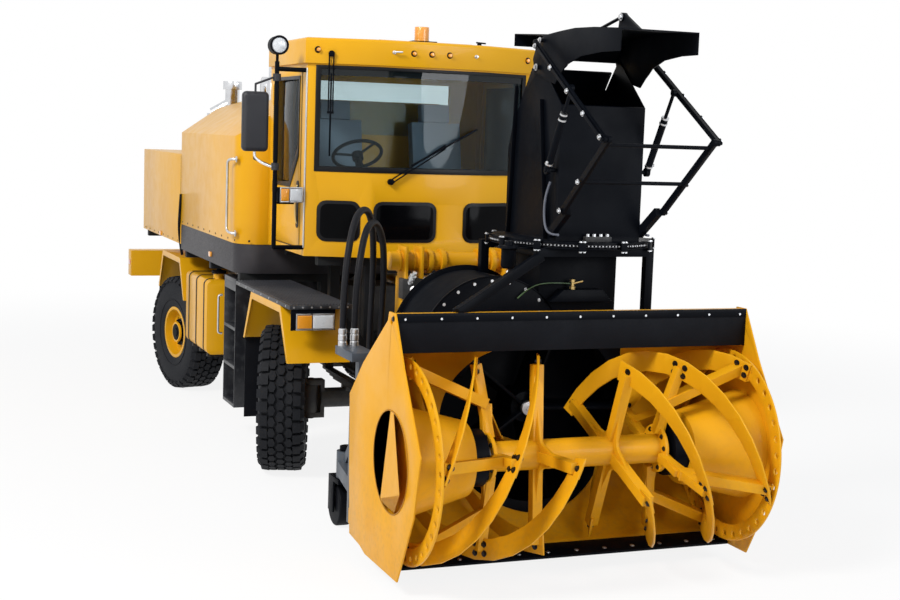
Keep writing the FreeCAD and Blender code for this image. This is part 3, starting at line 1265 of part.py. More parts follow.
def chute_body():
    """Swivelling duct with its base flange, chain ring and the lugs of the linkage."""
    outer = chute_solid(0, CHUTE_BASE, 0)
    inner = chute_solid(CHUTE_T, CHUTE_BASE - 60, 30)
    duct = outer.cut(inner)
    ring = cyl_z(CHUTE_X, CHUTE_Y, TURRET_Z + RING_GAP_Z, CHUTE_BASE + 10, TURRET_R - 10)
    ring = ring.cut(box(CHUTE_X - CHUTE_HALF_W + CHUTE_T, CHUTE_X + CHUTE_HALF_W - CHUTE_T,
                        CHUTE_Y - CHUTE_HALF_D + CHUTE_T, CHUTE_Y + CHUTE_HALF_D - CHUTE_T,
                        TURRET_Z, CHUTE_BASE + 11))
    return fuse(duct, ring, *[lug for s in (-1, 1) for lug in chute_lugs(s)])


LUG_OUT = CHUTE_HALF_W + 75.0
ARM_PIN = (CHUTE_Y - 640.0, 2460.0)
HOOD_PIN = (CHUTE_Y - 60.0, 3420.0)
TIP_PIN = (CHUTE_Y - 1250.0, 2940.0)
LINK_END = (CHUTE_Y - 130.0, 3600.0)
RAM_PIN = (CHUTE_Y - 380.0, 2720.0)
RAM_END = (CHUTE_Y - 700.0, 3264.0)


def chute_lugs(side):
    x = CHUTE_X + side * CHUTE_HALF_W
    out = CHUTE_X + side * (CHUTE_HALF_W + 42)
    arm_lug = bar((0.5 * (x + out), CHUTE_Y - CHUTE_HALF_D + 40, CHUTE_BASE + 60),
                  (0.5 * (x + out), ARM_PIN[0], ARM_PIN[1]), abs(out - x), 60)
    arm_pin = cyl_x(min(out, out + side * 40), max(out, out + side * 40), *ARM_PIN, 14)
    ram_pin = cyl_x(min(x, out + side * 40), max(x, out + side * 40), *RAM_PIN, 14)
    hood_pin = cyl_x(min(x, x + side * 20), max(x, x + side * 20), *HOOD_PIN, 16)
    return [arm_lug, arm_pin, ram_pin, hood_pin]


DEFLECTOR_NOSE = CHUTE_Y - 1220.0
DEFLECTOR_BACK = CHUTE_Y + 40.0
DEFLECTOR_ROOF = ((DEFLECTOR_NOSE, 3632), (DEFLECTOR_NOSE + 350, 3655), (CHUTE_Y - 600, 3662),
                  (CHUTE_Y - 380, 3652), (CHUTE_Y - 130, 3636), (CHUTE_Y - 20, 3590),
                  (DEFLECTOR_BACK, 3480))
NOSE_TAPER = (15.0, 85.0)      # how far the side plates lean in at the nose, left and right


def deflector_plan(grow):
    """Plan of the hood, straight over the chute and narrower towards its nose."""
    half = CHUTE_HALF_W + 2 + grow
    bend, nose, back = CHUTE_Y - 450, DEFLECTOR_NOSE - 10, DEFLECTOR_BACK + 10
    plan = [(CHUTE_X - half, back), (CHUTE_X - half, bend),
            (CHUTE_X - half + NOSE_TAPER[0], nose), (CHUTE_X + half - NOSE_TAPER[1], nose),
            (CHUTE_X + half, bend), (CHUTE_X + half, back)]
    return prism_z(plan, TURRET_Z, TURRET_Z + 2000)


def deflector():
    """Hood over the chute's mouth: curved top, two side plates, rear flap and top lug."""
    half = CHUTE_HALF_W + 2
    t = CHUTE_T
    nose = DEFLECTOR_NOSE
    lower = [(CHUTE_Y, 3370), (CHUTE_Y - 330, 3300), (CHUTE_Y - 400, 3360), (CHUTE_Y - 500, 3425),
             (CHUTE_Y - 700, 3475), (nose + 250, 3492), (nose, 3490)]
    block = prism_x(list(DEFLECTOR_ROOF) + lower, CHUTE_X - half - 60, CHUTE_X + half + 60)
    sides = block.common(deflector_plan(t)).cut(deflector_plan(0))
    sides = sides.cut(cyl_x(CHUTE_X - half - 60, CHUTE_X + half + 60, *HOOD_PIN, 16 + RUN_GAP))
    under = [(y + (t if index > 3 else 0) * -1.1, z - t * (1.05 if index < 6 else 0))
             for index, (y, z) in enumerate(DEFLECTOR_ROOF)]
    roof = prism_x(list(DEFLECTOR_ROOF) + under[::-1], CHUTE_X - half - 60,
                   CHUTE_X + half + 60).common(deflector_plan(t / 2))
    back = DEFLECTOR_BACK
    flap = prism_x([(CHUTE_Y - 200, 3640), (back + 350, 3672), (back + 350, 3584),
                    (back + 350 - t, 3584), (back + 350 - t, 3664), (CHUTE_Y - 200, 3632)],
                   CHUTE_X - half, CHUTE_X + half)
    lug = prism_x([(nose + 300, 3646), (nose + 620, 3658), (nose + 600, 3760), (nose + 580, 3775),
                   (nose + 550, 3775), (nose + 525, 3760)], CHUTE_X - 10, CHUTE_X + 10)
    eye = cyl_x(CHUTE_X - 18, CHUTE_X + 18, nose + 565, 3748, 28)
    link_pins = [cyl_x(min(CHUTE_X + s * (half + t), CHUTE_X + s * (half + t + 30)),
                       max(CHUTE_X + s * (half + t), CHUTE_X + s * (half + t + 30)),
                       *LINK_END, 14) for s in (-1, 1)]
    return fuse(sides, roof, flap, lug, eye, *link_pins)


def side_link(side, x_in, start, end, width, thick):
    """Flat link with round ends and pin holes between two (y, z) points outside the chute."""
    x0 = CHUTE_X + side * x_in
    x1 = x0 + side * thick
    a, b = min(x0, x1), max(x0, x1)
    xc = (a + b) / 2
    body = bar((xc, *start), (xc, *end), thick, width)
    ends = [cyl_x(a, b, *p, width / 2 + 3) for p in (start, end)]
    return fuse(body, *ends)


def chute_arms():
    parts = []
    for side in (-1, 1):
        arm = side_link(side, CHUTE_HALF_W + 46, ARM_PIN, TIP_PIN, 44, 26)
        x = CHUTE_X + side * (CHUTE_HALF_W + 59)
        arm = arm.cut(cyl_x(x - 30, x + 30, *ARM_PIN, 14 + RUN_GAP))
        pin = cyl_x(min(x, x + side * 55), max(x, x + side * 55), *TIP_PIN, 12)
        parts.append(arm.fuse(pin))
    half = CHUTE_HALF_W + 60
    for share in (0.42, 0.93):
        y = ARM_PIN[0] + share * (TIP_PIN[0] - ARM_PIN[0])
        z = ARM_PIN[1] + share * (TIP_PIN[1] - ARM_PIN[1])
        parts.append(cyl_x(CHUTE_X - half, CHUTE_X + half, y, z, 13))
    return fuse(*parts)


def chute_links():
    """Pair of long links, open at the hood end, where the pin passes them with clearance."""
    parts = []
    for side in (-1, 1):
        start = TIP_PIN
        way = (LINK_END[0] - start[0], LINK_END[1] - start[1])
        length = math.hypot(*way)
        stop = tuple(s + w * (1 - 36 / length) for s, w in zip(start, way))
        link = side_link(side, CHUTE_HALF_W + 76, start, stop, 34, 22)
        x = CHUTE_X + side * (CHUTE_HALF_W + 87)
        parts.append(link.cut(cyl_x(x - 30, x + 30, *TIP_PIN, 12 + RUN_GAP)))
    return parts


def chute_cylinders():
    """Hood cylinders, each on a pin of the chute; the rod end stays short of the arm line."""
    solids = []
    for side in (-1, 1):
        x = CHUTE_X + side * (CHUTE_HALF_W + 62)
        eye = cyl_x(x - 14, x + 14, *RAM_PIN, 30)
        barrel = rod((x, *RAM_PIN), (x, RAM_PIN[0] + 0.68 * (RAM_END[0] - RAM_PIN[0]),
                                     RAM_PIN[1] + 0.68 * (RAM_END[1] - RAM_PIN[1])), 24)
        stem = rod((x, *RAM_PIN), (x, *RAM_END), 12)
        tip = cyl_x(x - 12, x + 12, *RAM_END, 24)
        body = fuse(eye, barrel, stem, tip).cut(cyl_x(x - 40, x + 40, *RAM_PIN, 14 + RUN_GAP))
        solids.append(body)
    return solids


# ---------------------------------------------------------------- wheels
def knuckle(side, y):
    """Steering knuckle: block between the fork's ears, kingpin and wheel spindle."""
    x = side * KINGPIN_X
    block = cyl_z(x, y, TYRE_R - 119, TYRE_R + 119, 62)
    pin = cyl_z(x, y, TYRE_R - 175, TYRE_R + 175, KINGPIN_R)
    spindle_end = side * (TRACK_HALF + 90)
    spindle = cyl_x(min(x, spindle_end), max(x, spindle_end), y, TYRE_R, 45)
    return fuse(block, pin, spindle)


def rim(side, y):
    """Wheel: barrel, dished disc with hand holes and the hub."""
    half = TYRE_W / 2 - 25
    profile = [(-half, RIM_R - RIM_WALL), (-half, RIM_R + 22), (-half + 12, RIM_R + 22),
               (-half + 12, RIM_R), (half - 12, RIM_R), (half - 12, RIM_R + 22),
               (half, RIM_R + 22), (half, RIM_R - RIM_WALL)]
    barrel = revolved_x(profile, side * TRACK_HALF, y, TYRE_R)
    face = side * (TRACK_HALF + 60)
    disc = cyl_x(face - 8, face + 8, y, TYRE_R, RIM_R - RIM_WALL + 1)
    for i in range(8):
        a = math.radians(45 * i)
        disc = disc.cut(cyl_x(face - 20, face + 20, y + 180 * math.cos(a),
                              TYRE_R + 180 * math.sin(a), 26))
    hub_a = side * (TRACK_HALF - 60)
    hub_b = side * (TRACK_HALF + 150)
    hub = cyl_x(min(hub_a, hub_b), max(hub_a, hub_b), y, TYRE_R, HUB_R)
    whole = fuse(barrel, disc, hub)
    bore_b = side * (TRACK_HALF + 91)
    start = side * (TRACK_HALF - 61)
    bore = cyl_x(min(start, bore_b), max(start, bore_b), y, TYRE_R, 45 + RUN_GAP)
    return whole.cut(bore)


def tyre(side, y):
    half = TYRE_W / 2
    profile = [(-half + 37, RIM_R), (half - 37, RIM_R), (half - 37, RIM_R + 22),
               (half - 12, RIM_R + 60), (half, RIM_R + 180), (half - 8, TYRE_R - 60),
               (half - 40, TYRE_R - 12), (half - 90, TYRE_R), (-half + 90, TYRE_R),
               (-half + 40, TYRE_R - 12), (-half + 8, TYRE_R - 60), (-half, RIM_R + 180),
               (-half + 12, RIM_R + 60), (-half + 37, RIM_R + 22)]
    return revolved_x(profile, side * TRACK_HALF, y, TYRE_R)


def steered(shape, side, y, angle):
    return turned(shape, (side * KINGPIN_X, y, 0), Z_AXIS, angle)


# ---------------------------------------------------------------- hoses
def hose(points, radius):
    """Tube of straight runs joined by tangent arcs through a list of 3-D points."""
    pts = [V(*p) for p in points]
    edges = []
    last = pts[0]
    for i in range(1, len(pts) - 1):
        back = (pts[i - 1] - pts[i])
        ahead = (pts[i + 1] - pts[i])
        shorter = min(back.Length, ahead.Length)
        bu, au = V(back).normalize(), V(ahead).normalize()
        start, end = pts[i] + bu * (0.45 * shorter), pts[i] + au * (0.45 * shorter)
        half = (math.pi - bu.getAngle(au)) / 2
        bend = 0.45 * shorter / math.tan(half)
        centre = pts[i] + (bu + au).normalize() * (bend / math.cos(half))
        middle = centre + (pts[i] - centre).normalize() * bend
        edges.append(Part.makeLine(last, start))
        edges.append(Part.Arc(start, middle, end).toShape())
        last = end
    edges.append(Part.makeLine(last, pts[-1]))
    path = Part.Wire(edges)
    start_dir = (pts[1] - pts[0]).normalize()
    section = Part.Wire([Part.makeCircle(radius, pts[0], start_dir)])
    return path.makePipeShell([section], True, False)


HOSE_R = 24.0
HOSE_LOW_Z = 1400.0
HOSE_END_Z = 760.0
HOSE_Y = CURTAIN_Y + 1300.0
HOSE_END_Y = HITCH_Y - 115.0

# routes from the fitting on the head to the bulkhead of the truck, as (x, y behind the
# fitting, z); the last points hang down beside the hitch
HOSE_ROUTES = (
    ((-1240, 0, HOSE_LOW_Z), (-1240, 0, 1760), (-1195, 55, 2110), (-1090, 210, 2340),
     (-940, 430, 2370), (-820, 650, 2240), (-752, 810, 2020), (-728, 882, 1740),
     (-738, 888, 1420), (-746, 878, 1120), (-740, 885, 900), (-740, 885, HOSE_END_Z)),
    ((-1150, 0, HOSE_LOW_Z), (-1150, 0, 1740), (-1110, 45, 2030), (-1020, 190, 2240),
     (-880, 410, 2280), (-745, 630, 2150), (-668, 795, 1950), (-640, 876, 1700),
     (-648, 890, 1400), (-656, 880, 1110), (-650, 885, 900), (-650, 885, HOSE_END_Z)),
)


def hydraulic_hoses():
    """Two large hoses that arch from the head up to the truck's front bulkhead."""
    return [hose([(x, HOSE_Y + y, z) for x, y, z in route], HOSE_R) for route in HOSE_ROUTES]


def build():
    os.makedirs("parts", exist_ok=True)
    save("chassis_frame", chassis_frame())
    save("axles_and_springs", axles_and_springs())
    save("engine_and_driveline", engine_and_driveline() + hood_stacks())
    save("engine_hood", engine_hood())
    save("skirts_and_flaps", skirts_and_flaps())
    save("rear_body", rear_body())
    save("side_tanks", side_tanks())
    save("fenders", fenders())
    save("decks_and_steps", decks_and_steps())
    save("lamps", lamps())
    save("cab_shell", cab_shell())
    save("cab_glass", cab_glass())
    save("cab_interior", cab_interior())
    save("steering_wheel", steering_wheel())
    save("mirror_posts", mirror_post() + [mirrored(s) for s in mirror_post()])
    save("mirror_left", mirror_head())
    save("mirror_right", mirrored(mirror_head()))
    door = cab_door()
    save("cab_door_left", door)
    save("cab_door_right", [mirrored(s) for s in door])
    save("wiper_upper", wiper_upper())
    save("wiper_lower", wiper_lower())
    save("hitch_frame", hitch_frame())
    save("lift_arms", lift_arms())
    save("lift_links", lift_links())
    save("lift_cylinders", lift_cylinders())
    save("lift_rods", lift_rods())
    save("pto_shaft", pto_shaft())
    save("head_housing", head_housing())
    save("side_plates", side_plates())
    save("edge_strips", edge_strips())
    save("impeller_housing", impeller_housing())
    save("impeller", impeller())
    save("chute_frame", chute_frame())
    save("head_drives", head_drives())
    save("caster_frames", caster_frame(), mirrored(caster_frame()).fuse(hose_stand()))
    save("caster_fork_left", caster_fork())
    save("caster_fork_right", mirrored(caster_fork()))
    save("caster_wheel_left", caster_wheel())
    save("caster_wheel_right", mirrored(caster_wheel()))
    shaft = rotor_shaft()
    save("rotor_shaft", shaft)
    save("rotor_rings", rotor_rings())
    save("rotor_ribbons", rotor_ribbons(shaft))
    save("chute_body", chute_body())
    save("deflector", deflector())
    save("chute_arms", chute_arms())
    save("chute_links", chute_links())
    save("chute_cylinders", chute_cylinders())
    save("hydraulic_hoses", hydraulic_hoses())
    for place, y, angle in (("front", FRONT_AXLE_Y, STEER_FRONT), ("rear", REAR_AXLE_Y, STEER_REAR)):
        for name, side in (("left", 1), ("right", -1)):
            save("knuckle_%s_%s" % (place, name), steered(knuckle(side, y), side, y, angle))
            save("rim_%s_%s" % (place, name), steered(rim(side, y), side, y, angle))
            save("tyre_%s_%s" % (place, name), steered(tyre(side, y), side, y, angle))


build()
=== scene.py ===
# %% [markdown]
# # A two stage snowblower, dressed for rendering
# The machine is a four-wheeled carrier truck with a blower head on its front hitch. A ribbon
# rotor cuts the snow and feeds a fan, the impeller, which throws it up a swivelling chute.
# Its solids come from a CAD model. Here each solid gets the finish, the fasteners, the seams
# and the soft forms that a solid model leaves out. First the frame is loaded: every piece made
# later takes its place from the boxes of the CAD nodes.

# %% Load the frame
import bpy
import bmesh
import json
import math
from mathutils import Matrix, Vector


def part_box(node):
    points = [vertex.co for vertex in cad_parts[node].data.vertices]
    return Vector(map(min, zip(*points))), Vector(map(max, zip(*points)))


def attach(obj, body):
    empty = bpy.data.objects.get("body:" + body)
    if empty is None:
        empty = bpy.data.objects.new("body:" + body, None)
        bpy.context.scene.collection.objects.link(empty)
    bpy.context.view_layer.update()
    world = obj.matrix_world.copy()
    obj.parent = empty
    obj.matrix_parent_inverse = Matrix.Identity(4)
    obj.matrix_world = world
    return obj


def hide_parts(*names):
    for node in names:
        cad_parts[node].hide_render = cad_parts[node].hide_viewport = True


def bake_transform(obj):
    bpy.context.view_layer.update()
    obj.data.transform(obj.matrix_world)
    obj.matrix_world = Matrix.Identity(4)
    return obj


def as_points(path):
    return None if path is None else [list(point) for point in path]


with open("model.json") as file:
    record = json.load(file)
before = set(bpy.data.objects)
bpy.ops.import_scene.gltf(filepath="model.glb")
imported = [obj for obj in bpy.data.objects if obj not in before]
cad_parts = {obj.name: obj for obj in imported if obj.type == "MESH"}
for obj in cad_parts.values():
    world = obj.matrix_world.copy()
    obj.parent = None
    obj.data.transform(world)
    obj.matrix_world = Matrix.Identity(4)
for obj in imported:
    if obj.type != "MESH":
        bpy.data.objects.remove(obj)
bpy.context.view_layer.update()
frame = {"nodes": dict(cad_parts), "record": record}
NODES = frame["nodes"]

# %% [markdown]
# ## Camera, floor and light
# A large machine is seen best with a long lens from the height of its cab window. The floor
# and the world are white, so that only the soft shadow under the machine tells where it
# stands. One large key lamp stands high on the machine's right-hand front, as the sun behind
# thin cloud would, and the world fills the rest.

# %% Camera
VIEW_AT = Vector((-4.361, -13.579, 2.957))
VIEW_YAW, VIEW_PITCH, VIEW_ROLL = (math.radians(a) for a in (21.619, 6.574, 1.955))
LENS_MM = 58.47


def view_axes(yaw, pitch, roll):
    """Right, up and backward directions of a camera that looks along +Y when unturned."""
    ahead = Vector((math.sin(yaw) * math.cos(pitch), math.cos(yaw) * math.cos(pitch),
                    -math.sin(pitch)))
    right = Vector((math.cos(yaw), -math.sin(yaw), 0))
    above = right.cross(ahead)
    return (right * math.cos(roll) + above * math.sin(roll),
            above * math.cos(roll) - right * math.sin(roll), -ahead)


camera = bpy.data.objects.new("camera", bpy.data.cameras.new("camera"))
camera.matrix_world = Matrix.Translation(VIEW_AT) @ Matrix(
    view_axes(VIEW_YAW, VIEW_PITCH, VIEW_ROLL)).transposed().to_4x4()
camera.data.lens = LENS_MM
camera.data.clip_end = 200
bpy.context.scene.collection.objects.link(camera)
bpy.context.scene.camera = camera
print("camera at", tuple(VIEW_AT))

# %% [markdown]
# ## Materials as arithmetic
# A shader is a graph of nodes, and most of those nodes only add, multiply or compare. So a
# small class wraps a socket and lets Python's own operators add the nodes. `1 - mask` then
# reads as it would on paper. Every other node comes from one method, `Finish.node`.

# %% Sockets that take part in sums
scene = bpy.context.scene
scene.view_settings.view_transform = "Standard"


class Link:
    """One output socket of a graph, of a material or of Geometry Nodes."""

    def __init__(self, graph, socket):
        self.graph, self.socket = graph, socket

    def math(self, operation, first, second):
        return self.graph.node("ShaderNodeMath", {"operation": operation},
                               {0: first, 1: second})

    def __add__(self, other):
        return self.math("ADD", self, other)

    def __rsub__(self, other):
        return self.math("SUBTRACT", other, self)

    def __mul__(self, other):
        return self.math("MULTIPLY", self, other)

    __radd__, __rmul__ = __add__, __mul__

    def between(self, low, high, start=0.0, end=1.0):
        """This value, carried smoothly from the range low..high to start..end."""
        return self.graph.node("ShaderNodeMapRange", {"interpolation_type": "SMOOTHSTEP"},
                               {0: self, 1: low, 2: high, 3: start, 4: end})


class Graph:
    """A node tree; `node` adds any node to it and gives back its output."""

    tree = None

    def node(self, kind, settings=None, inputs=None, out=0):
        node = self.tree.nodes.new(kind)
        for key, value in (settings or {}).items():
            setattr(node, key, value)
        for key, value in (inputs or {}).items():
            for each in value if isinstance(value, list) else [value]:
                if isinstance(each, Link):
                    self.tree.links.new(each.socket, node.inputs[key])
                else:
                    node.inputs[key].default_value = each
        return Link(self, node.outputs[out])


class Finish(Graph):
    """A material with its graph."""

    def __init__(self, name):
        self.material = bpy.data.materials.new(name)
        self.material.use_nodes = True
        self.tree = self.material.node_tree
        self.tree.nodes.clear()
        self.output = self.tree.nodes.new("ShaderNodeOutputMaterial")

    def place(self, scale=(1, 1, 1)):
        """Object coordinates, scaled."""
        at = self.node("ShaderNodeTexCoord", out="Object")
        return self.node("ShaderNodeMapping", {}, {"Vector": at, "Scale": scale})

    def noise(self, scale, detail=4, stretch=(1, 1, 1), rough=0.55):
        return self.node("ShaderNodeTexNoise", {},
                         {"Vector": self.place(stretch), "Scale": scale, "Detail": detail,
                          "Roughness": rough})

    def mix(self, factor, first, second):
        """Colour between two colours."""
        node = self.tree.nodes.new("ShaderNodeMix")
        node.data_type = "RGBA"
        for index, value in ((0, factor), (6, first), (7, second)):
            if isinstance(value, Link):
                self.tree.links.new(value.socket, node.inputs[index])
            else:
                node.inputs[index].default_value = value
        return Link(self, node.outputs[2])

    def bump(self, height, depth):
        return self.node("ShaderNodeBump", {},
                         {"Height": height, "Distance": depth, "Strength": 1.0})

    def surface(self, **inputs):
        """Finishes the graph with a Principled shader; names as on its sockets."""
        shader = self.node("ShaderNodeBsdfPrincipled", {}, {
            key.replace("_", " "): value for key, value in inputs.items()})
        self.tree.links.new(shader.socket, self.output.inputs[0])
        return self.material


def rgb(red, green, blue):
    return (red, green, blue, 1.0)


# %% Floor, backdrop and lamps
def seen_directly(graph):
    """1 for rays of the camera, of mirrors and of glass, 0 for the light that falls on things."""
    ray = graph.node("ShaderNodeLightPath", out="Is Camera Ray")
    source = ray.socket.node
    either = ray.math("MAXIMUM", ray, Link(graph, source.outputs["Is Glossy Ray"]))
    return either.math("MAXIMUM", either, Link(graph, source.outputs["Is Transmission Ray"]))


def white_stage():
    """Floor that is white to the camera and takes the machine's shadow."""
    finish = Finish("floor_white")
    grain = finish.noise(0.7)
    colour = finish.mix(grain, rgb(0.84, 0.84, 0.85), rgb(0.88, 0.88, 0.88))
    lit = finish.node("ShaderNodeBsdfDiffuse", {}, {"Color": colour})
    glow = finish.node("ShaderNodeEmission", {}, {"Color": rgb(1, 1, 1), "Strength": 1.0})
    spot = finish.node("ShaderNodeVectorMath", {"operation": "LENGTH"},
                       {0: finish.place()}, out="Value")
    share = seen_directly(finish) * spot.between(6.0, 13.0, 0.86, 1.0)
    mixed = finish.node("ShaderNodeMixShader", {}, {0: share, 1: lit, 2: glow})
    finish.tree.links.new(mixed.socket, finish.output.inputs[0])
    return finish.material


mesh = bpy.data.meshes.new("floor")
REACH = 60.0
mesh.from_pydata([(-REACH, -REACH, 0), (REACH, -REACH, 0), (REACH, REACH, 0),
                  (-REACH, REACH, 0)], [], [(0, 1, 2, 3)])
mesh.materials.append(white_stage())
floor = bpy.data.objects.new("floor", mesh)
scene.collection.objects.link(floor)

world = bpy.data.worlds.new("world")
scene.world = world
world.use_nodes = True
sky = Graph()
sky.tree = world.node_tree
sky.tree.nodes.clear()
# The ambient light is a little bluer than the lamps; the camera, mirrors and glass see white.
fill = sky.node("ShaderNodeBackground", {}, {"Color": rgb(0.88, 0.93, 1.0), "Strength": 0.50})
plain = sky.node("ShaderNodeBackground", {}, {"Color": rgb(1, 1, 1), "Strength": 1.0})
either = sky.node("ShaderNodeMixShader", {}, {0: seen_directly(sky), 1: fill, 2: plain})
final = sky.tree.nodes.new("ShaderNodeOutputWorld")
sky.tree.links.new(either.socket, final.inputs[0])


def area_lamp(name, at, target, size, watts, colour):
    lamp = bpy.data.lights.new(name, "AREA")
    lamp.shape, lamp.size, lamp.energy, lamp.color = "DISK", size, watts, colour
    holder = bpy.data.objects.new(name, lamp)
    way = Vector(target) - Vector(at)
    holder.matrix_world = Matrix.Translation(at) @ way.to_track_quat("-Z", "Y").to_matrix().to_4x4()
    scene.collection.objects.link(holder)
    return holder


area_lamp("key", (-13, -9, 13), (0, -2, 1.2), 5.0, 2750, (1.0, 0.97, 0.92))
area_lamp("front_fill", (7, -17, 6), (0, -4, 1.2), 8.0, 850, (0.93, 0.96, 1.0))
print("stage ready")

# %% [markdown]
# ## Paint
# The panels are sprayed with a thick warm-yellow enamel. Close up it has the faint ripple
# that painters call orange peel, and over a whole panel the colour drifts a little, with
# road film low down. The film is tied to the height above the road, which in this frame is
# simply Z in object coordinates. Black parts are powder coated, so they are duller.

# %% Painted finishes
def height_above_road(finish):
    at = finish.node("ShaderNodeTexCoord", out="Object")
    return finish.node("ShaderNodeSeparateXYZ", {}, {0: at}, out="Z")


def enamel(name, colour, shade, roughness, coat, film=0.0, gloss=0.4, peel=0.00012):
    finish = Finish(name)
    cloud = finish.noise(1.3, 3).between(0.35, 0.7)
    body = finish.mix(cloud, rgb(*colour), rgb(*shade))
    if film:
        low = 1 - height_above_road(finish).between(0.1, 1.5)
        specks = finish.noise(26, 5).between(0.42, 0.75)
        body = finish.mix(low * specks * film, body, rgb(0.16, 0.12, 0.075))
    dull = finish.noise(9, 4).between(0.3, 0.8, roughness, roughness + 0.1)
    ripple = finish.noise(180, 2)
    return finish.surface(Base_Color=body, Roughness=dull, Coat_Weight=coat,
                          Specular_IOR_Level=gloss, Coat_Roughness=0.06,
                          Normal=finish.bump(ripple, peel))


YELLOW = enamel("yellow_enamel", (0.74, 0.375, 0.006), (0.70, 0.345, 0.005), 0.30, 0.10, 0.10,
                0.20)
YELLOW_HEAD = enamel("yellow_head_enamel", (0.72, 0.345, 0.006), (0.66, 0.305, 0.005),
                     0.38, 0.06, 0.16, 0.2)
BLACK = enamel("black_powder_coat", (0.0016, 0.0022, 0.0040), (0.003, 0.004, 0.0065), 0.40, 0.0,
               0.0, 0.05)
CHASSIS = enamel("chassis_paint", (0.009, 0.010, 0.012), (0.016, 0.017, 0.018), 0.55, 0.0, 0.4,
                 0.15)
GREY = enamel("blue_grey_enamel", (0.055, 0.068, 0.088), (0.04, 0.05, 0.065), 0.42, 0.1, 0.2,
              0.3)
# A darker, duller copy of the yellow enamel: painted shade, laid on the inner edge of the side
# plates' round holes and on the louvre blades.
YELLOW_PAINTED_SHADE = enamel("yellow_shaded_edge", (0.42, 0.185, 0.004), (0.36, 0.15, 0.004), 0.5, 0.0)
GREEN = enamel("green_pipe_paint", (0.045, 0.10, 0.03), (0.03, 0.07, 0.02), 0.4, 0.1)
PIPE_GREY = enamel("grey_pipe_paint", (0.10, 0.11, 0.14), (0.07, 0.075, 0.10), 0.3, 0.2)
print("paints ready")


# %% [markdown]
# ## Metal, rubber, plastic and glass
# Bare metal differs from paint in that its colour sits in the reflection, so Metallic is 1 and
# fine lines stretched along one axis show how it was drawn or ground. Rubber is dark, rough
# and slightly dusty. Moulded plastic carries a leathery grain. Glass is a mix of a clear
# tinted film and a mirror-like coat, weighted by the angle it is seen at.

# %% Bare metal
def metal(name, colour, shade, roughness, stretch=(1, 1, 22), scale=60):
    finish = Finish(name)
    lines = finish.noise(scale, 3, stretch)
    stain = finish.noise(7, 4).between(0.4, 0.75)
    tone = finish.mix(stain, rgb(*colour), rgb(*shade))
    return finish.surface(Base_Color=tone, Metallic=1.0,
                          Roughness=lines.between(0.2, 0.8, roughness, roughness + 0.16),
                          Normal=finish.bump(lines, 0.0001))


ZINC = metal("zinc_plate", (0.62, 0.63, 0.65), (0.48, 0.49, 0.50), 0.28)
CHROME = metal("hard_chrome", (0.80, 0.81, 0.82), (0.72, 0.73, 0.74), 0.10)
BRIGHT = metal("worn_bright_edge", (0.55, 0.56, 0.58), (0.35, 0.35, 0.36), 0.30, (22, 1, 1))
DARK_STEEL = metal("phosphated_steel", (0.055, 0.055, 0.062), (0.032, 0.030, 0.030), 0.34)
BRASS = metal("brass", (0.66, 0.48, 0.20), (0.5, 0.34, 0.13), 0.3)
STAINLESS = metal("polished_pipe", (0.70, 0.71, 0.73), (0.55, 0.56, 0.58), 0.16, (1, 1, 1), 24)


def casting(name, colour, shade):
    finish = Finish(name)
    sand = finish.noise(55, 6)
    tone = finish.mix(finish.noise(6, 4).between(0.3, 0.75), rgb(*colour), rgb(*shade))
    return finish.surface(Base_Color=tone, Metallic=0.25,
                          Roughness=sand.between(0.2, 0.8, 0.5, 0.75),
                          Normal=finish.bump(sand, 0.0012))


CAST = casting("cast_iron_painted", (0.030, 0.031, 0.034), (0.055, 0.052, 0.048))


def rubber(name, colour, dust, roughness, grain=70, relief=0.0006, gloss=0.2):
    finish = Finish(name)
    speck = finish.noise(grain, 5)
    film = finish.noise(3, 5).between(0.35, 0.8)
    tone = finish.mix(film, rgb(*colour), rgb(*dust))
    dull = speck.between(0.2, 0.8, roughness - 0.08, roughness + 0.1)
    return finish.surface(Base_Color=tone, Normal=finish.bump(speck, relief),
                          Specular_IOR_Level=gloss, Roughness=dull)


TYRE = rubber("tyre_rubber", (0.007, 0.008, 0.011), (0.016, 0.017, 0.020), 0.72)
RUBBER = rubber("black_rubber", (0.003, 0.0035, 0.0055), (0.006, 0.007, 0.010), 0.55, gloss=0.08)
SKIRT = rubber("skirt_rubber", (0.032, 0.030, 0.034), (0.050, 0.047, 0.052), 0.5)
STRAP = rubber("tank_strap", (0.020, 0.012, 0.008), (0.035, 0.024, 0.016), 0.5)
GASKET = rubber("window_gasket", (0.003, 0.003, 0.004), (0.006, 0.006, 0.007), 0.4)


def moulded(name, colour, shade, roughness, coat=0.0, grain=240, relief=0.00035):
    finish = Finish(name)
    cells = finish.node("ShaderNodeTexVoronoi", {"feature": "DISTANCE_TO_EDGE"},
                        {"Vector": finish.place(), "Scale": grain})
    tone = finish.mix(finish.noise(5, 3), rgb(*colour), rgb(*shade))
    return finish.surface(Base_Color=tone, Roughness=finish.noise(12, 3).between(
        0.2, 0.8, roughness, roughness + 0.12), Coat_Weight=coat,
        Normal=finish.bump(cells.between(0, 0.18), relief))


TRIM = moulded("cab_trim", (0.05, 0.062, 0.075), (0.065, 0.078, 0.092), 0.5)
SHELL = moulded("mirror_shell", (0.006, 0.0065, 0.011), (0.009, 0.010, 0.016), 0.38, 0.0)
AMBER = moulded("amber_lens", (0.86, 0.36, 0.015), (0.76, 0.27, 0.012), 0.12, 0.8, 60, 0.0008)
RED_LENS = moulded("red_lens", (0.55, 0.012, 0.010), (0.4, 0.008, 0.008), 0.12, 0.8, 60, 0.0008)
CLEAR = moulded("clear_lens", (0.72, 0.75, 0.78), (0.55, 0.58, 0.62), 0.08, 0.9, 50, 0.0010)


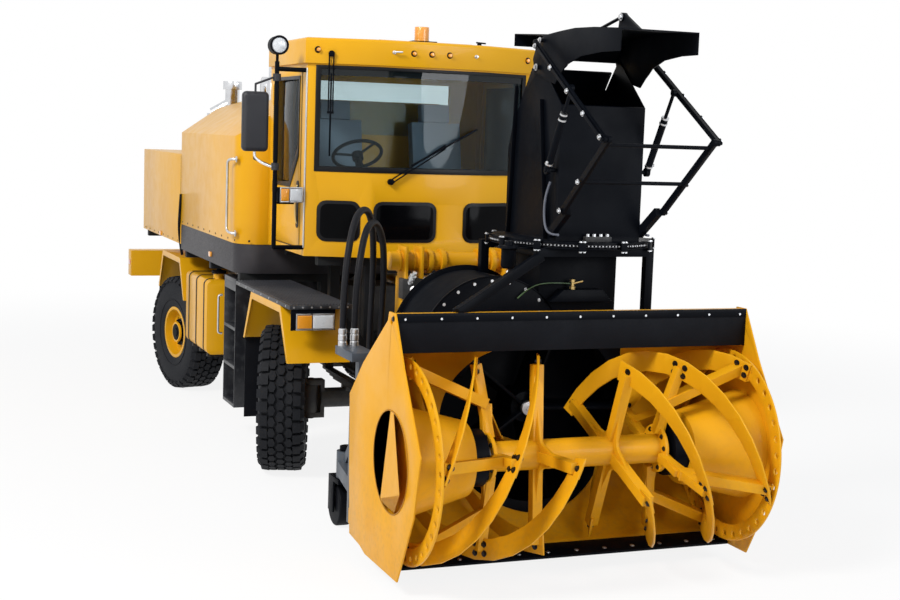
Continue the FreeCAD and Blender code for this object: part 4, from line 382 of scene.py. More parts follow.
def cloth(name, colour, shade):
    """Woven seat cover: two crossed waves make the threads."""
    finish = Finish(name)
    waves = [finish.node("ShaderNodeTexWave", {"bands_direction": axis},
                         {"Vector": finish.place(), "Scale": 180, "Distortion": 0.6})
             for axis in ("X", "Z")]
    weave = waves[0] * waves[1]
    tone = finish.mix(weave, rgb(*colour), rgb(*shade))
    return finish.surface(Base_Color=tone, Roughness=finish.noise(30).between(0.2, 0.8, 0.8, 0.95),
                          Normal=finish.bump(weave, 0.0008))


# The seat cloth is a light blue-grey: the cloth's own grey with the sky's reflection in the cab
# glass painted into it.
SEAT_CLOTH_AND_PAINTED_REFLECTION = cloth("seat_cloth", (0.26, 0.32, 0.40), (0.36, 0.43, 0.52))


def tread_plate(name):
    """Black deck finish with worn, greyer high spots."""
    finish = Finish(name)
    wear = finish.noise(14, 5).between(0.45, 0.8)
    tone = finish.mix(wear, rgb(0.012, 0.013, 0.017), rgb(0.045, 0.048, 0.054))
    return finish.surface(Base_Color=tone, Roughness=wear.between(0, 1, 0.38, 0.6),
                          Normal=finish.bump(finish.noise(90, 3), 0.0006))


DECK = tread_plate("deck_tread")
SLAT = enamel("slat_edges", (0.030, 0.032, 0.040), (0.055, 0.058, 0.066), 0.4, 0.0)


def braided(name):
    """Hose cover: fine diagonal lines both ways round the hose."""
    finish = Finish(name)
    lines = [finish.node("ShaderNodeTexWave", {"bands_direction": "DIAGONAL"},
                         {"Vector": finish.place((1, sign, 1)), "Scale": 120, "Distortion": 0.3})
             for sign in (1, -1)]
    weave = lines[0] * lines[1]
    tone = finish.mix(weave, rgb(0.004, 0.004, 0.006), rgb(0.012, 0.013, 0.016))
    return finish.surface(Base_Color=tone, Roughness=weave.between(0, 1, 0.40, 0.55),
                          Specular_IOR_Level=0.15,
                          Normal=finish.bump(weave, 0.0005))


HOSE = braided("hose_cover")


def pane(name, tint, clear_share, smear):
    """Window glass: mostly see-through with a tint, and a sharp reflection over it."""
    finish = Finish(name)
    film = finish.noise(smear, 3, (1, 1, 0.4)).between(0.4, 0.8, 0.0, 0.05)
    through = finish.node("ShaderNodeBsdfTransparent", {}, {"Color": rgb(*tint)})
    gloss = finish.node("ShaderNodeBsdfPrincipled", {}, {
        "Base Color": rgb(0.02, 0.03, 0.035), "Roughness": 0.02, "IOR": 1.52,
        "Coat Weight": 1.0, "Coat Roughness": 0.01})
    facing = finish.node("ShaderNodeLayerWeight", {}, {"Blend": 0.35}, out="Fresnel")
    share = facing + film + (1 - clear_share)
    mixed = finish.node("ShaderNodeMixShader", {}, {0: share, 1: through, 2: gloss})
    finish.tree.links.new(mixed.socket, finish.output.inputs[0])
    return finish.material


GLASS = pane("tinted_glass", (0.88, 0.94, 0.95), 0.93, 2.0)
DARK_GLASS = pane("dark_glass", (0.10, 0.12, 0.14), 0.75, 2.0)
# Opaque, near black and with little gloss: painted shade that stands for the dark inside of the cab
# behind the low front windows.
PAINTED_SHADE_PANE = enamel("dark_pane", (0.0012, 0.0014, 0.0018), (0.002, 0.002, 0.003), 0.12, 0.0,
                   0.0, 0.05)
MIRROR = metal("mirror_glass", (0.86, 0.88, 0.90), (0.80, 0.82, 0.85), 0.02, (1, 1, 1), 3)
print("metals, rubber, plastic and glass ready")

# %% [markdown]
# ## Dressing a CAD solid
# The CAD nodes arrive as loose triangles with hard flat faces. A node that shows gets a
# dressed copy: its doubles are merged, flat triangles join into whole faces, long edges get a
# small bevel that catches the light, and curved walls are shaded smooth. Where one node holds
# solids of different stuff, such as a lamp and its lens, a rule on each solid's box picks the
# finish.

# %% Dressing helpers
def new_piece(name, mesh, body, slot, material=None):
    """Links a mesh as a piece of the machine, riding on a body when one is given."""
    if material is not None:
        mesh.materials.clear()
        mesh.materials.append(material)
    piece = bpy.data.objects.new(name, mesh)
    scene.collection.objects.link(piece)
    if body:
        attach(piece, body)
    return piece


def body_of(node):
    for body, members in frame["record"]["behaviour"]["bodies"].items():
        if node in members:
            return body
    raise KeyError(node)


def smooth(mesh, angle=32):
    """Smooth shading that stays sharp at edges steeper than an angle."""
    for polygon in mesh.polygons:
        polygon.use_smooth = True
    mesh.set_sharp_from_angle(angle=math.radians(angle))


def merged_solids(node):
    """The solids of a node, each as a mesh with its doubles merged and flats joined."""
    bm = bmesh.new()
    bm.from_mesh(NODES[node].data)
    bmesh.ops.remove_doubles(bm, verts=bm.verts, dist=0.00002)
    left = set(bm.faces)
    groups = []
    # The faces are taken in their own order, so that each run gives the same meshes.
    for seed in bm.faces:
        if seed not in left:
            continue
        left.discard(seed)
        group, stack = [seed], [seed]
        while stack:
            for edge in stack.pop().edges:
                for face in edge.link_faces:
                    if face in left:
                        left.discard(face)
                        group.append(face)
                        stack.append(face)
        groups.append(group)
    solids = []
    for group in groups:
        part = bmesh.new()
        copies = {}
        for face in group:
            corners = []
            for vert in face.verts:
                if vert not in copies:
                    copies[vert] = part.verts.new(vert.co)
                corners.append(copies[vert])
            try:
                part.faces.new(corners)
            except ValueError:
                pass
        bmesh.ops.dissolve_limit(part, angle_limit=math.radians(0.6), verts=part.verts,
                                 edges=part.edges)
        solids.append(part)
    bm.free()
    solids.sort(key=lambda part: tuple(round(v, 3) for v in mesh_box(part)[0]))
    return solids


def mesh_box(part):
    low = Vector([min(v.co[i] for v in part.verts) for i in range(3)])
    high = Vector([max(v.co[i] for v in part.verts) for i in range(3)])
    return low, high


def dress(node, rules, bevel=0.003, angle=32, segments=2):
    """Dressed copies of a node. `rules` is a list of (test, label, slot, material): the first
    test that a solid's box passes names its finish. Solids with one label become one piece."""
    groups = {}
    for part in merged_solids(node):
        low, high = mesh_box(part)
        for test, label, slot, material in rules:
            if test is None or test(low, high):
                groups.setdefault((label, slot, material), []).append(part)
                break
    pieces = []
    for (label, slot, material), parts in groups.items():
        whole = bmesh.new()
        for part in parts:
            mesh = bpy.data.meshes.new("part")
            part.to_mesh(mesh)
            whole.from_mesh(mesh)
            part.free()
            bpy.data.meshes.remove(mesh)
        mesh = bpy.data.meshes.new(node + label)
        whole.to_mesh(mesh)
        whole.free()
        if bevel:
            mesh = bevelled(mesh, bevel, segments)
        smooth(mesh, angle)
        piece = new_piece(node + label, mesh, body_of(node), slot, material)
        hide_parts(node)
        pieces.append(piece)
    return pieces


def bevelled(mesh, width, segments=2):
    """A mesh with its sharp edges bevelled, by a Bevel modifier that is applied."""
    holder = bpy.data.objects.new("bevelling", mesh)
    scene.collection.objects.link(holder)
    step = holder.modifiers.new("bevel", "BEVEL")
    step.width, step.segments, step.limit_method = width, segments, "ANGLE"
    step.angle_limit = math.radians(40)
    step.use_clamp_overlap = True
    step.miter_outer = "MITER_ARC"
    bpy.context.view_layer.update()
    done = bpy.data.meshes.new_from_object(holder.evaluated_get(
        bpy.context.evaluated_depsgraph_get()))
    bpy.data.objects.remove(holder)
    bpy.data.meshes.remove(mesh)
    return done


print("helpers ready")

# %% [markdown]
# ## Painted panels and frames
# Most of the machine is folded and welded sheet, which the CAD solids already describe. They
# are dressed here, one node after another, with the paint that belongs to each. Where a node
# holds unlike solids, the rule looks at the box of each solid.

# %% Dress the carrier
def everything(label, slot, material):
    return [(None, label, slot, material)]


dress("chassis_frame", [
    (lambda low, high: high.y > 5.5, "_rear_beam", "yellow_paint", YELLOW),
    (None, "_rails", "chassis_black", CHASSIS)], 0.004)
dress("axles_and_springs", everything("_iron", "cast_metal", CAST), 0.004)
dress("engine_and_driveline", [
    (lambda low, high: low.z > 2.6, "_pipes", "bright_steel", STAINLESS),
    (None, "_iron", "cast_metal", CAST)], 0.004)
dress("engine_hood", everything("_panels", "yellow_paint", YELLOW), 0.004)
dress("skirts_and_flaps", [
    (lambda low, high: high.x - low.x > 2, "_skirt", "black_rubber", SKIRT),
    (None, "_flaps", "black_rubber", RUBBER)], 0.003)
dress("rear_body", everything("_panels", "yellow_paint", YELLOW), 0.012, segments=3)
dress("side_tanks", [
    (lambda low, high: low.x > -1.28 and high.z > 1.4 and low.z < 1.0, "_tank", "yellow_paint",
     YELLOW),
    (lambda low, high: low.z > 1.4, "_cap", "black_paint", BLACK),
    (None, "_brackets", "chassis_black", CHASSIS)], 0.004)
dress("fenders", [
    (lambda low, high: low.x > 0.7 or high.x < -0.7, "_panels", "yellow_paint", YELLOW),
    (None, "_brackets", "chassis_black", CHASSIS)], 0.0025)
dress("decks_and_steps", everything("_plates", "deck_black", DECK), 0.003)
dress("cab_shell", everything("_panels", "yellow_paint", YELLOW), 0.006, segments=3)
dress("cab_glass", everything("_panes", "screen_glass", GLASS), 0)
# The seats take the cloth with the glass's sky reflection painted into its colour.
interior = dress("cab_interior", [
    (lambda low, high: low.y > -1.42 and low.z > 2.2, "_seats", "seat_fabric", SEAT_CLOTH_AND_PAINTED_REFLECTION),
    (None, "_trim", "cab_trim", TRIM)], 0.028, segments=4)
dress("steering_wheel", everything("_rim", "cab_trim", TRIM), 0)
for side in ("left", "right"):
    dress("cab_door_" + side, [
        (lambda low, high: abs(high.x - low.x) < 0.02, "_pane", "screen_glass", GLASS),
        (None, "_panel", "yellow_paint", YELLOW)], 0.005)
    dress("mirror_" + side, everything("_head", "mirror_shell", SHELL), 0)
dress("mirror_posts", everything("_tubes", "black_paint", BLACK), 0)
dress("wiper_upper", everything("_arm", "black_paint", BLACK), 0.001)
dress("wiper_lower", everything("_arm", "black_paint", BLACK), 0.001)
dress("lamps", [
    (lambda low, high: low.z > 3.705, "_beacon", "amber_lens", AMBER),
    (lambda low, high: low.z > 3.68, "_beacon_base", "black_paint", BLACK),
    (lambda low, high: low.z > 3.5, "_markers", "amber_lens", AMBER),
    (lambda low, high: high.y - low.y < 0.021, "_plates", "black_paint", BLACK),
    (None, "_housings", "black_paint", BLACK)], 0.004)
print("carrier dressed")

# %% Dress the hitch and the blower head
dress("hitch_frame", [
    (lambda low, high: high.x < -0.49 and low.x < -0.7, "_bulkhead", "black_paint", BLACK),
    (None, "_frame", "yellow_paint", YELLOW_HEAD)], 0.004)
for node, slot, material in (
        ("lift_arms", "black_paint", BLACK), ("lift_links", "black_paint", BLACK),
        ("lift_cylinders", "black_paint", BLACK), ("lift_rods", "bright_steel", CHROME),
        ("pto_shaft", "black_paint", BLACK), ("head_housing", "yellow_paint", YELLOW_HEAD),
        ("side_plates", "yellow_paint", YELLOW_HEAD), ("impeller_housing", "black_paint", BLACK),
        ("impeller", "black_paint", BLACK), ("chute_frame", "black_paint", BLACK),
        ("caster_frames", "grey_paint", GREY), ("chute_body", "black_paint", BLACK),
        ("deflector", "black_paint", BLACK), ("chute_arms", "black_paint", BLACK),
        ("chute_links", "black_paint", BLACK), ("rotor_shaft", "yellow_paint", YELLOW_HEAD),
        ("rotor_rings", "yellow_paint", YELLOW_HEAD),
        ("rotor_ribbons", "yellow_paint", YELLOW_HEAD)):
    dress(node, everything("_dressed", slot, material), 0.0025)
dress("edge_strips", [
    (lambda low, high: low.z > 1.0, "_curtain", "black_rubber", RUBBER),
    (None, "_cutting_edge", "wear_steel", BLACK)], 0.002)
dress("head_drives", [
    (lambda low, high: high.x - low.x < 0.02, "_covers", "yellow_paint", YELLOW_HEAD),
    (lambda low, high: min(abs(low.x), abs(high.x)) < 0.7, "_gearboxes", "black_paint", BLACK),
    (None, "_drums", "yellow_paint", YELLOW_HEAD)], 0.003)
dress("chute_cylinders", everything("_barrels", "steel", BLACK), 0)
for side in ("left", "right"):
    dress("caster_fork_" + side, everything("_fork", "black_paint", BLACK), 0.003)
    dress("caster_wheel_" + side, everything("_tyre", "black_rubber", RUBBER), 0)
    for place in ("front", "rear"):
        name = place + "_" + side
        dress("knuckle_" + name, everything("_iron", "cast_metal", CAST), 0.002)
        dress("rim_" + name, everything("_disc", "yellow_paint", YELLOW), 0.003)
print("head dressed")

# %% [markdown]
# ## Fasteners from one tree
# A machine of this kind is held together by hundreds of hexagon bolts. One Geometry Nodes
# tree makes them all: it takes a cloud of points that carry a direction and a size, and puts
# a hexagon head on a round washer at each. Changing the tree changes every bolt at once.

# %% Geometry Nodes helpers
class Growth(Graph):
    """A Geometry Nodes tree with named inputs."""

    def __init__(self, name, **sockets):
        self.tree = bpy.data.node_groups.new(name, "GeometryNodeTree")
        face = self.tree.interface
        face.new_socket("Geometry", in_out="INPUT", socket_type="NodeSocketGeometry")
        self.keys = {}
        for label, kind in sockets.items():
            self.keys[label] = face.new_socket(label.replace("_", " "), in_out="INPUT",
                                               socket_type="NodeSocket" + kind).identifier
        face.new_socket("Geometry", in_out="OUTPUT", socket_type="NodeSocketGeometry")
        self.source = self.tree.nodes.new("NodeGroupInput")
        self.sink = self.tree.nodes.new("NodeGroupOutput")

    def given(self, label):
        return Link(self, self.source.outputs[label.replace("_", " ")])

    def attribute(self, name, kind):
        return self.node("GeometryNodeInputNamedAttribute", {"data_type": kind}, {"Name": name})

    def finish(self, instances):
        """Ends the tree as every tree here ends: real meshes with a material."""
        real = self.node("GeometryNodeRealizeInstances", {}, {0: instances})
        dressed = self.node("GeometryNodeSetMaterial", {},
                            {0: real, "Material": self.given("Material")})
        self.tree.links.new(dressed.socket, self.sink.inputs[0])

    def grow(self, mesh, values):
        """The plain mesh that the tree makes from a mesh."""
        holder = bpy.data.objects.new("growing", mesh)
        scene.collection.objects.link(holder)
        step = holder.modifiers.new("grow", "NODES")
        step.node_group = self.tree
        for label, value in values.items():
            step[self.keys[label]] = value
        bpy.context.view_layer.update()
        done = bpy.data.meshes.new_from_object(holder.evaluated_get(
            bpy.context.evaluated_depsgraph_get()))
        bpy.data.objects.remove(holder)
        return done


def hex_bolts():
    """Points with a way and a size become hexagon heads on washers."""
    tree = Growth("hex_bolts", Head_Height="Float", Washer_Width="Float", Material="Material")
    head = tree.node("GeometryNodeMeshCylinder", {}, {
        "Vertices": 6, "Radius": 1.0, "Depth": tree.given("Head_Height")}, out="Mesh")
    washer = tree.node("GeometryNodeMeshCylinder", {}, {
        "Vertices": 14, "Radius": tree.given("Washer_Width"), "Depth": 0.24}, out="Mesh")
    lifted = tree.node("ShaderNodeCombineXYZ", {}, {
        "Z": tree.given("Head_Height") * 0.5 + 0.1})
    head = tree.node("GeometryNodeTransform", {}, {0: head, "Translation": lifted})
    both_parts = tree.node("GeometryNodeJoinGeometry", {}, {0: [washer, head]})
    turn = tree.node("FunctionNodeAlignRotationToVector", {"axis": "Z"},
                     {"Vector": tree.attribute("way", "FLOAT_VECTOR")})
    placed = tree.node("GeometryNodeInstanceOnPoints", {}, {
        "Points": tree.given("Geometry"), "Instance": both_parts, "Rotation": turn,
        "Scale": tree.attribute("size", "FLOAT")})
    tree.finish(placed)
    return tree


BOLTS = hex_bolts()


def point_cloud(name, places):
    """A mesh of loose points that carry a way and a size: places are (point, way, size)."""
    mesh = bpy.data.meshes.new(name)
    mesh.from_pydata([tuple(place[0]) for place in places], [], [])
    mesh.attributes.new("way", "FLOAT_VECTOR", "POINT")
    mesh.attributes.new("size", "FLOAT", "POINT")
    # A new attribute can move the older ones in memory, so both are looked up afterwards.
    ways, sizes = mesh.attributes["way"], mesh.attributes["size"]
    for index, (_, way, size) in enumerate(places):
        ways.data[index].vector = Vector(way).normalized()
        sizes.data[index].value = size
    return mesh


def bolts(name, body, slot, material, places, head=0.7, washer=1.45):
    mesh = BOLTS.grow(point_cloud(name, places), {
        "Head_Height": head, "Washer_Width": washer, "Material": material})
    print(name, len(places), "bolts")
    return new_piece(name, mesh, body, slot, material)


# %% Blocks on points
def block_tree(name, sides, turn):
    """Points with an up, an across and half sizes become prisms with that many sides."""
    tree = Growth(name, Material="Material")
    grow = 1.0 / math.cos(math.pi / sides) if turn else 1.0
    prism = tree.node("GeometryNodeMeshCylinder", {}, {
        "Vertices": sides, "Radius": grow, "Depth": 2.0}, out="Mesh")
    prism = tree.node("GeometryNodeTransform", {}, {0: prism, "Rotation": (0, 0, turn)})
    upright = tree.node("FunctionNodeAlignRotationToVector", {"axis": "Z"},
                        {"Vector": tree.attribute("way", "FLOAT_VECTOR")})
    turned = tree.node("FunctionNodeAlignRotationToVector", {"axis": "X", "pivot_axis": "Z"}, {
        "Rotation": upright, "Vector": tree.attribute("across", "FLOAT_VECTOR")})
    placed = tree.node("GeometryNodeInstanceOnPoints", {}, {
        "Points": tree.given("Geometry"), "Instance": prism, "Rotation": turned,
        "Scale": tree.attribute("half", "FLOAT_VECTOR")})
    tree.finish(placed)
    return tree


BOXES = block_tree("boxes", 4, math.pi / 4)
HEXAGONS = block_tree("hexagons", 6, 0.0)
ROUNDS = block_tree("rounds", 10, 0.0)


def blocks(name, body, slot, material, places, tree=BOXES):
    """Piece of prisms: places are (point, up, across, (half across, half along, half up))."""
    mesh = bpy.data.meshes.new(name)
    mesh.from_pydata([tuple(place[0]) for place in places], [], [])
    for label in ("way", "across", "half"):
        mesh.attributes.new(label, "FLOAT_VECTOR", "POINT")
    for column, label in enumerate(("way", "across", "half"), 1):
        data = mesh.attributes[label].data
        for index, place in enumerate(places):
            data[index].vector = place[column]
    print(name, len(places), "blocks")
    return new_piece(name, tree.grow(mesh, {"Material": material}), body, slot, material)


print("block trees ready")


# %% [markdown]
# ## A small workshop
# Small parts such as handles and lamps are built from a few plain shapes joined in one
# mesh: blocks, rods, bent tubes and turned profiles. The `Workshop` collects them, bevels
# the edges, and hands over one finished piece.

# %% Workshop
class Workshop:
    """Collects shapes in one bmesh and makes a piece of them."""

    def __init__(self):
        self.bm = bmesh.new()

    def faces(self, points, faces):
        verts = [self.bm.verts.new(point) for point in points]
        for face in faces:
            self.bm.faces.new([verts[i] for i in face])
        return self

    def block(self, low, high):
        (a, b, c), (d, e, f) = low, high
        return self.faces([(x, y, z) for z in (c, f) for y in (b, e) for x in (a, d)],
                          [(0, 2, 3, 1), (4, 5, 7, 6), (0, 1, 5, 4), (2, 6, 7, 3),
                           (0, 4, 6, 2), (1, 3, 7, 5)])

    def lathe(self, at, way, profile, sides=24, ring=False):
        """Turned part: profile holds (distance along the way, radius). A ring closes on itself."""
        way = Vector(way).normalized()
        first = way.orthogonal().normalized()
        second = way.cross(first)
        rings = []
        for along, radius in profile:
            centre = Vector(at) + way * along
            if radius < 1e-6:
                rings.append([self.bm.verts.new(centre)])
                continue
            rings.append([self.bm.verts.new(centre + (
                first * math.cos(2 * math.pi * i / sides)
                + second * math.sin(2 * math.pi * i / sides)) * radius) for i in range(sides)])
        for one, two in zip(rings, rings[1:] + rings[:1] if ring else rings[1:]):
            for i in range(sides):
                j = (i + 1) % sides
                corners = [one[i % len(one)], one[j % len(one)], two[j % len(two)],
                           two[i % len(two)]]
                corners = [v for k, v in enumerate(corners) if v not in corners[:k]]
                if len(corners) > 2:
                    self.bm.faces.new(corners)
        for end in () if ring else (rings[0][::-1], rings[-1]):
            if len(end) > 2:
                self.bm.faces.new(end)
        return self

    def rod(self, start, end, radius, sides=16):
        start, end = Vector(start), Vector(end)
        length = (end - start).length
        edge = min(radius * 0.15, length * 0.1)
        return self.lathe(start, end - start, [
            (0, radius - edge), (edge, radius), (length - edge, radius),
            (length, radius - edge)], sides)

    def tube(self, points, radius, sides=14, steps=8):
        """Smooth round tube with the points as the corners of its curve."""
        return self.sweep(smooth_path(points, steps), radius, sides)

    def sweep(self, path, radius, sides=14):
        rings = []
        side = None
        for index, point in enumerate(path):
            ahead = path[min(index + 1, len(path) - 1)] - path[max(index - 1, 0)]
            ahead.normalize()
            side = ahead.orthogonal() if side is None else side - ahead * side.dot(ahead)
            side.normalize()
            up = ahead.cross(side)
            rings.append([self.bm.verts.new(point + (
                side * math.cos(2 * math.pi * i / sides)
                + up * math.sin(2 * math.pi * i / sides)) * radius) for i in range(sides)])
        for one, two in zip(rings, rings[1:]):
            for i in range(sides):
                j = (i + 1) % sides
                self.bm.faces.new([one[i], one[j], two[j], two[i]])
        self.bm.faces.new(rings[0][::-1])
        self.bm.faces.new(rings[-1])
        return self

    def band(self, points, outs, across, thick):
        """Flat strap along points, standing off along the outward direction at each."""
        across = Vector(across)
        corners = []
        for point, out in zip(points, outs):
            point, out = Vector(point), Vector(out) * thick
            corners += [point, point + across, point + across + out, point + out]
        last = len(corners) - 4
        return self.faces(corners, [(0, 3, 2, 1), (last, last + 1, last + 2, last + 3)] + [
            (i * 4 + k, i * 4 + (k + 1) % 4, i * 4 + 4 + (k + 1) % 4, i * 4 + 4 + k)
            for i in range(len(points) - 1) for k in range(4)])

    def frame(self, outer, inner, thick):
        """Flat frame between two loops with the same number of points, thickened."""
        thick, count = Vector(thick), len(outer)
        loops = [[Vector(p) for p in loop] for loop in (outer, inner)]
        points = loops[0] + loops[1] + [p + thick for p in loops[0] + loops[1]]
        faces = []
        for i in range(count):
            j = (i + 1) % count
            faces += [(i, j, count + j, count + i),
                      (2 * count + i, 3 * count + i, 3 * count + j, 2 * count + j),
                      (i, 2 * count + i, 2 * count + j, j),
                      (count + i, count + j, 3 * count + j, 3 * count + i)]
        return self.faces(points, faces)

    def rounded_panel(self, place, low, high, corner, depth, folds=()):
        """Panel with round corners between (u, v) corners. `place(u, v, d)` gives the point at
        depth d; the panel bends at the folds, which are values of u."""
        (u0, v0), (u1, v1) = low, high
        arc = [corner * (1 - math.cos(math.radians(a))) for a in (0, 22, 45, 67, 90)]
        stations = sorted([u0 + a for a in arc] + [u1 - a for a in arc]
                          + [f for f in folds if u0 + corner < f < u1 - corner])
        points, faces = [], []
        for u in stations:
            side = max(0.0, corner - min(u - u0, u1 - u))
            cut = corner - math.sqrt(max(0.0, corner * corner - side * side))
            for d in depth:
                points += [place(u, v0 + cut, d), place(u, v1 - cut, d)]
        for i in range(len(stations) - 1):
            a, b = 4 * i, 4 * i + 4
            faces += [(a, b, b + 1, a + 1), (a + 2, a + 3, b + 3, b + 2),
                      (a, a + 2, b + 2, b), (a + 1, b + 1, b + 3, a + 3)]
        end = 4 * (len(stations) - 1)
        faces += [(0, 1, 3, 2), (end, end + 2, end + 3, end + 1)]
        return self.faces(points, faces)

    def plate(self, outline, thick):
        """Flat plate from an outline of 3-D points, thickened along a vector."""
        thick = Vector(thick)
        count = len(outline)
        points = [Vector(p) for p in outline] + [Vector(p) + thick for p in outline]
        return self.faces(points, [tuple(range(count))[::-1],
                                   tuple(range(count, 2 * count))]
                          + [(i, (i + 1) % count, count + (i + 1) % count, count + i)
                             for i in range(count)])

    def piece(self, name, body, slot, material, bevel=0.0, angle=32, segments=2):
        bmesh.ops.recalc_face_normals(self.bm, faces=self.bm.faces)
        mesh = bpy.data.meshes.new(name)
        self.bm.to_mesh(mesh)
        self.bm.free()
        if bevel:
            mesh = bevelled(mesh, bevel, segments)
        smooth(mesh, angle)
        return new_piece(name, mesh, body, slot, material)


def smooth_path(points, steps=8):
    """Points along the smooth curve that has the given points as its corners."""
    curve = bpy.data.curves.new("path", "CURVE")
    curve.dimensions = "3D"
    spline = curve.splines.new("NURBS")
    spline.points.add(len(points) - 1)
    for target, point in zip(spline.points, points):
        target.co = (*point, 1.0)
    spline.order_u = 3
    spline.use_endpoint_u = True
    spline.resolution_u = steps
    holder = bpy.data.objects.new("path", curve)
    scene.collection.objects.link(holder)
    bpy.context.view_layer.update()
    mesh = bpy.data.meshes.new_from_object(holder.evaluated_get(
        bpy.context.evaluated_depsgraph_get()))
    path = [vert.co.copy() for vert in mesh.vertices]
    bpy.data.objects.remove(holder)
    bpy.data.curves.remove(curve)
    bpy.data.meshes.remove(mesh)
    return path


print("workshop ready")

# %% [markdown]
# ## Stations of the head
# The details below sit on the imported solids, so their places come from the boxes of the CAD
# nodes and from the anchors of the joints. A ribbon is a helix round the rotor's axis: share 0
# is at its end ring and share 1 at the middle of the machine.

# %% Stations
JOINTS = {joint["name"]: joint for joint in frame["record"]["behaviour"]["joints"]}


def anchor(joint):
    return Vector(JOINTS[joint]["pos_m"])


RING_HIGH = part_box("rotor_rings")[1]
AXIS_Y, AXIS_Z = anchor("rotor_spin").y, anchor("rotor_spin").z
RING_THICK = 0.014
BAND_THICK = 0.012
BAND_TURN = 190.0
BAND_MIDDLE = 0.240
BAND_START = {-1: 0.0, 1: -25.0}


def about_rotor(angle, radius, x=0.0):
    """Point at an angle from the front of the rotor's axis, upward."""
    a = math.radians(angle)
    return Vector((x, AXIS_Y - radius * math.cos(a), AXIS_Z + radius * math.sin(a)))


def band_point(index, side, share, radius):
    outer = RING_HIGH.x - RING_THICK - BAND_THICK / 2
    x = side * (outer + (BAND_MIDDLE - outer) * share)
    return about_rotor(index * 90 + BAND_START[side] + BAND_TURN * share, radius, x)


def band_normal(index, side, share, radius):
    """Direction off the band's face that looks towards -X."""
    along = (band_point(index, side, share + 0.01, radius)
             - band_point(index, side, share - 0.01, radius))
    out = band_point(index, side, share, radius) - band_point(index, side, share, radius - 0.05)
    way = along.cross(out).normalized()
    return way if way.x < 0 else -way


print("stations of the head ready")

# %% Bolts, pads and gussets of the rotor
SMALL, MEDIUM = 0.0125, 0.0150
places = []
pads = Workshop()
for side in (-1, 1):
    for index in range(4):
        for centre, reach, rows in ((0.030, 0.017, (0.575, 0.635)), (0.520, 0.018, (0.565, 0.625)),
                                    (0.968, 0.0, (0.560, 0.620))):
            for step in ((-1, 1) if reach else (0,)):
                for radius in rows:
                    share = centre + step * reach
                    way = band_normal(index, side, share, radius)
                    at = band_point(index, side, share, radius)
                    for sign in (1, -1):
                        places.append((at + way * sign * (BAND_THICK / 2 + 0.0075 * (sign < 0)),
                                       way * sign, MEDIUM))
            # The plate that the arm is welded to lies behind the band.
            half = 0.036 if reach else 0.026
            corners = [band_point(index, side, centre + step * half, radius)
                       for step, radius in ((-1, 0.538), (1, 0.538), (1, 0.664), (-1, 0.664))]
            way = band_normal(index, side, centre, 0.60)
            pads.plate([corner - way * (BAND_THICK / 2) for corner in corners], way * -0.008)
bolts("rotor_bolts", "rotor", "black_paint", DARK_STEEL, places)
pads.piece("rotor_pads", "rotor", "yellow_paint", YELLOW_HEAD, 0.002)

star = Workshop()
for side in (-1, 1):
    outline = []
    for index in range(4):
        centre = index * 90 + BAND_START[side] + BAND_TURN - 6
        for angle, radius in ((-20, 0.185), (-9, 0.26), (-5, 0.36), (5, 0.36), (9, 0.26),
                              (20, 0.185), (32, 0.142), (45, 0.130), (58, 0.142)):
            outline.append(about_rotor(centre + angle, radius, side * 0.274 - 0.012))
    star.plate(outline, (0.024, 0, 0))
star.piece("rotor_star_gussets", "rotor", "yellow_paint", YELLOW_HEAD, 0.003)

flanges, collars = [], Workshop()
for side in (-1, 1):
    face = side * 0.620
    for k in range(10):
        flanges.append((about_rotor(k * 36 + 10, 0.137, face), (-side, 0, 0), SMALL))
        flanges.append((about_rotor(k * 36 + 10, 0.137, face + side * 0.024), (side, 0, 0), SMALL))
    collars.lathe((face + side * 0.024, AXIS_Y, AXIS_Z), (side, 0, 0),
                  [(0.0, 0.062), (0.0, 0.112), (0.004, 0.116), (0.012, 0.116), (0.016, 0.112),
                   (0.016, 0.062)], 40)
bolts("rotor_flange_bolts", "rotor", "black_paint", DARK_STEEL, flanges)
collars.piece("rotor_seal_rings", "head", "steel", ZINC)

# %% Edges of the head: curtain bolts and bar, cutting edge bolts, impeller nose cap
CURTAIN_LOW, CURTAIN_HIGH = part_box("edge_strips")
rows = []
for step in range(11):
    x = -1.235 + step * 0.247
    rows.append(((x, CURTAIN_LOW.y, CURTAIN_HIGH.z - 0.036), (0, -1, 0), 0.0085))
bolts("curtain_bolts", "head", "steel", ZINC, rows, 0.45, 1.7)
strip = Workshop()
strip.block((-1.286, CURTAIN_LOW.y - 0.003, CURTAIN_HIGH.z - 0.056),
            (1.286, CURTAIN_LOW.y, CURTAIN_HIGH.z - 0.016))
strip.piece("curtain_clamp_bar", "head", "black_paint", BLACK, 0.001)
EDGE_Y, EDGE_Z = AXIS_Y + 0.045, 0.109
EDGE_DEPTH, EDGE_RISE = 0.167, 0.041
BOLT_SHARE, BOLT_LIFT = 0.30, 0.0095
blade = []
for step in range(12):
    blade.append(((-1.19 + step * 0.2164, EDGE_Y + BOLT_SHARE * EDGE_DEPTH,
                   EDGE_Z + BOLT_SHARE * EDGE_RISE + BOLT_LIFT), (0, -0.24, 1), 0.0105))
bolts("cutting_edge_bolts", "head", "steel", BRIGHT, blade, 0.35, 1.6)

HUB = anchor("impeller_spin")
hub = Workshop()
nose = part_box("impeller")[0].y
hub.lathe((0, nose, HUB.z), (0, -1, 0), [
    (-0.02, 0.0), (-0.02, 0.050), (0.0, 0.052), (0.008, 0.048), (0.010, 0.020), (0.014, 0.018),
    (0.014, 0.0)], 36)
hub.piece("impeller_nose_cap", "impeller", "steel", ZINC)
print("rotor detailed")

# %% [markdown]
# ## Wheels
# An off-road tyre is a smooth carcass with blocks of rubber on it. The carcass is turned from
# a profile. The blocks repeat round it in rows, so one Geometry Nodes tree places them on
# points: two rows of square shoulder blocks, and three rows of hexagons that are staggered,
# which leaves the zigzag grooves between them. The hub is a black flange with ten nuts.

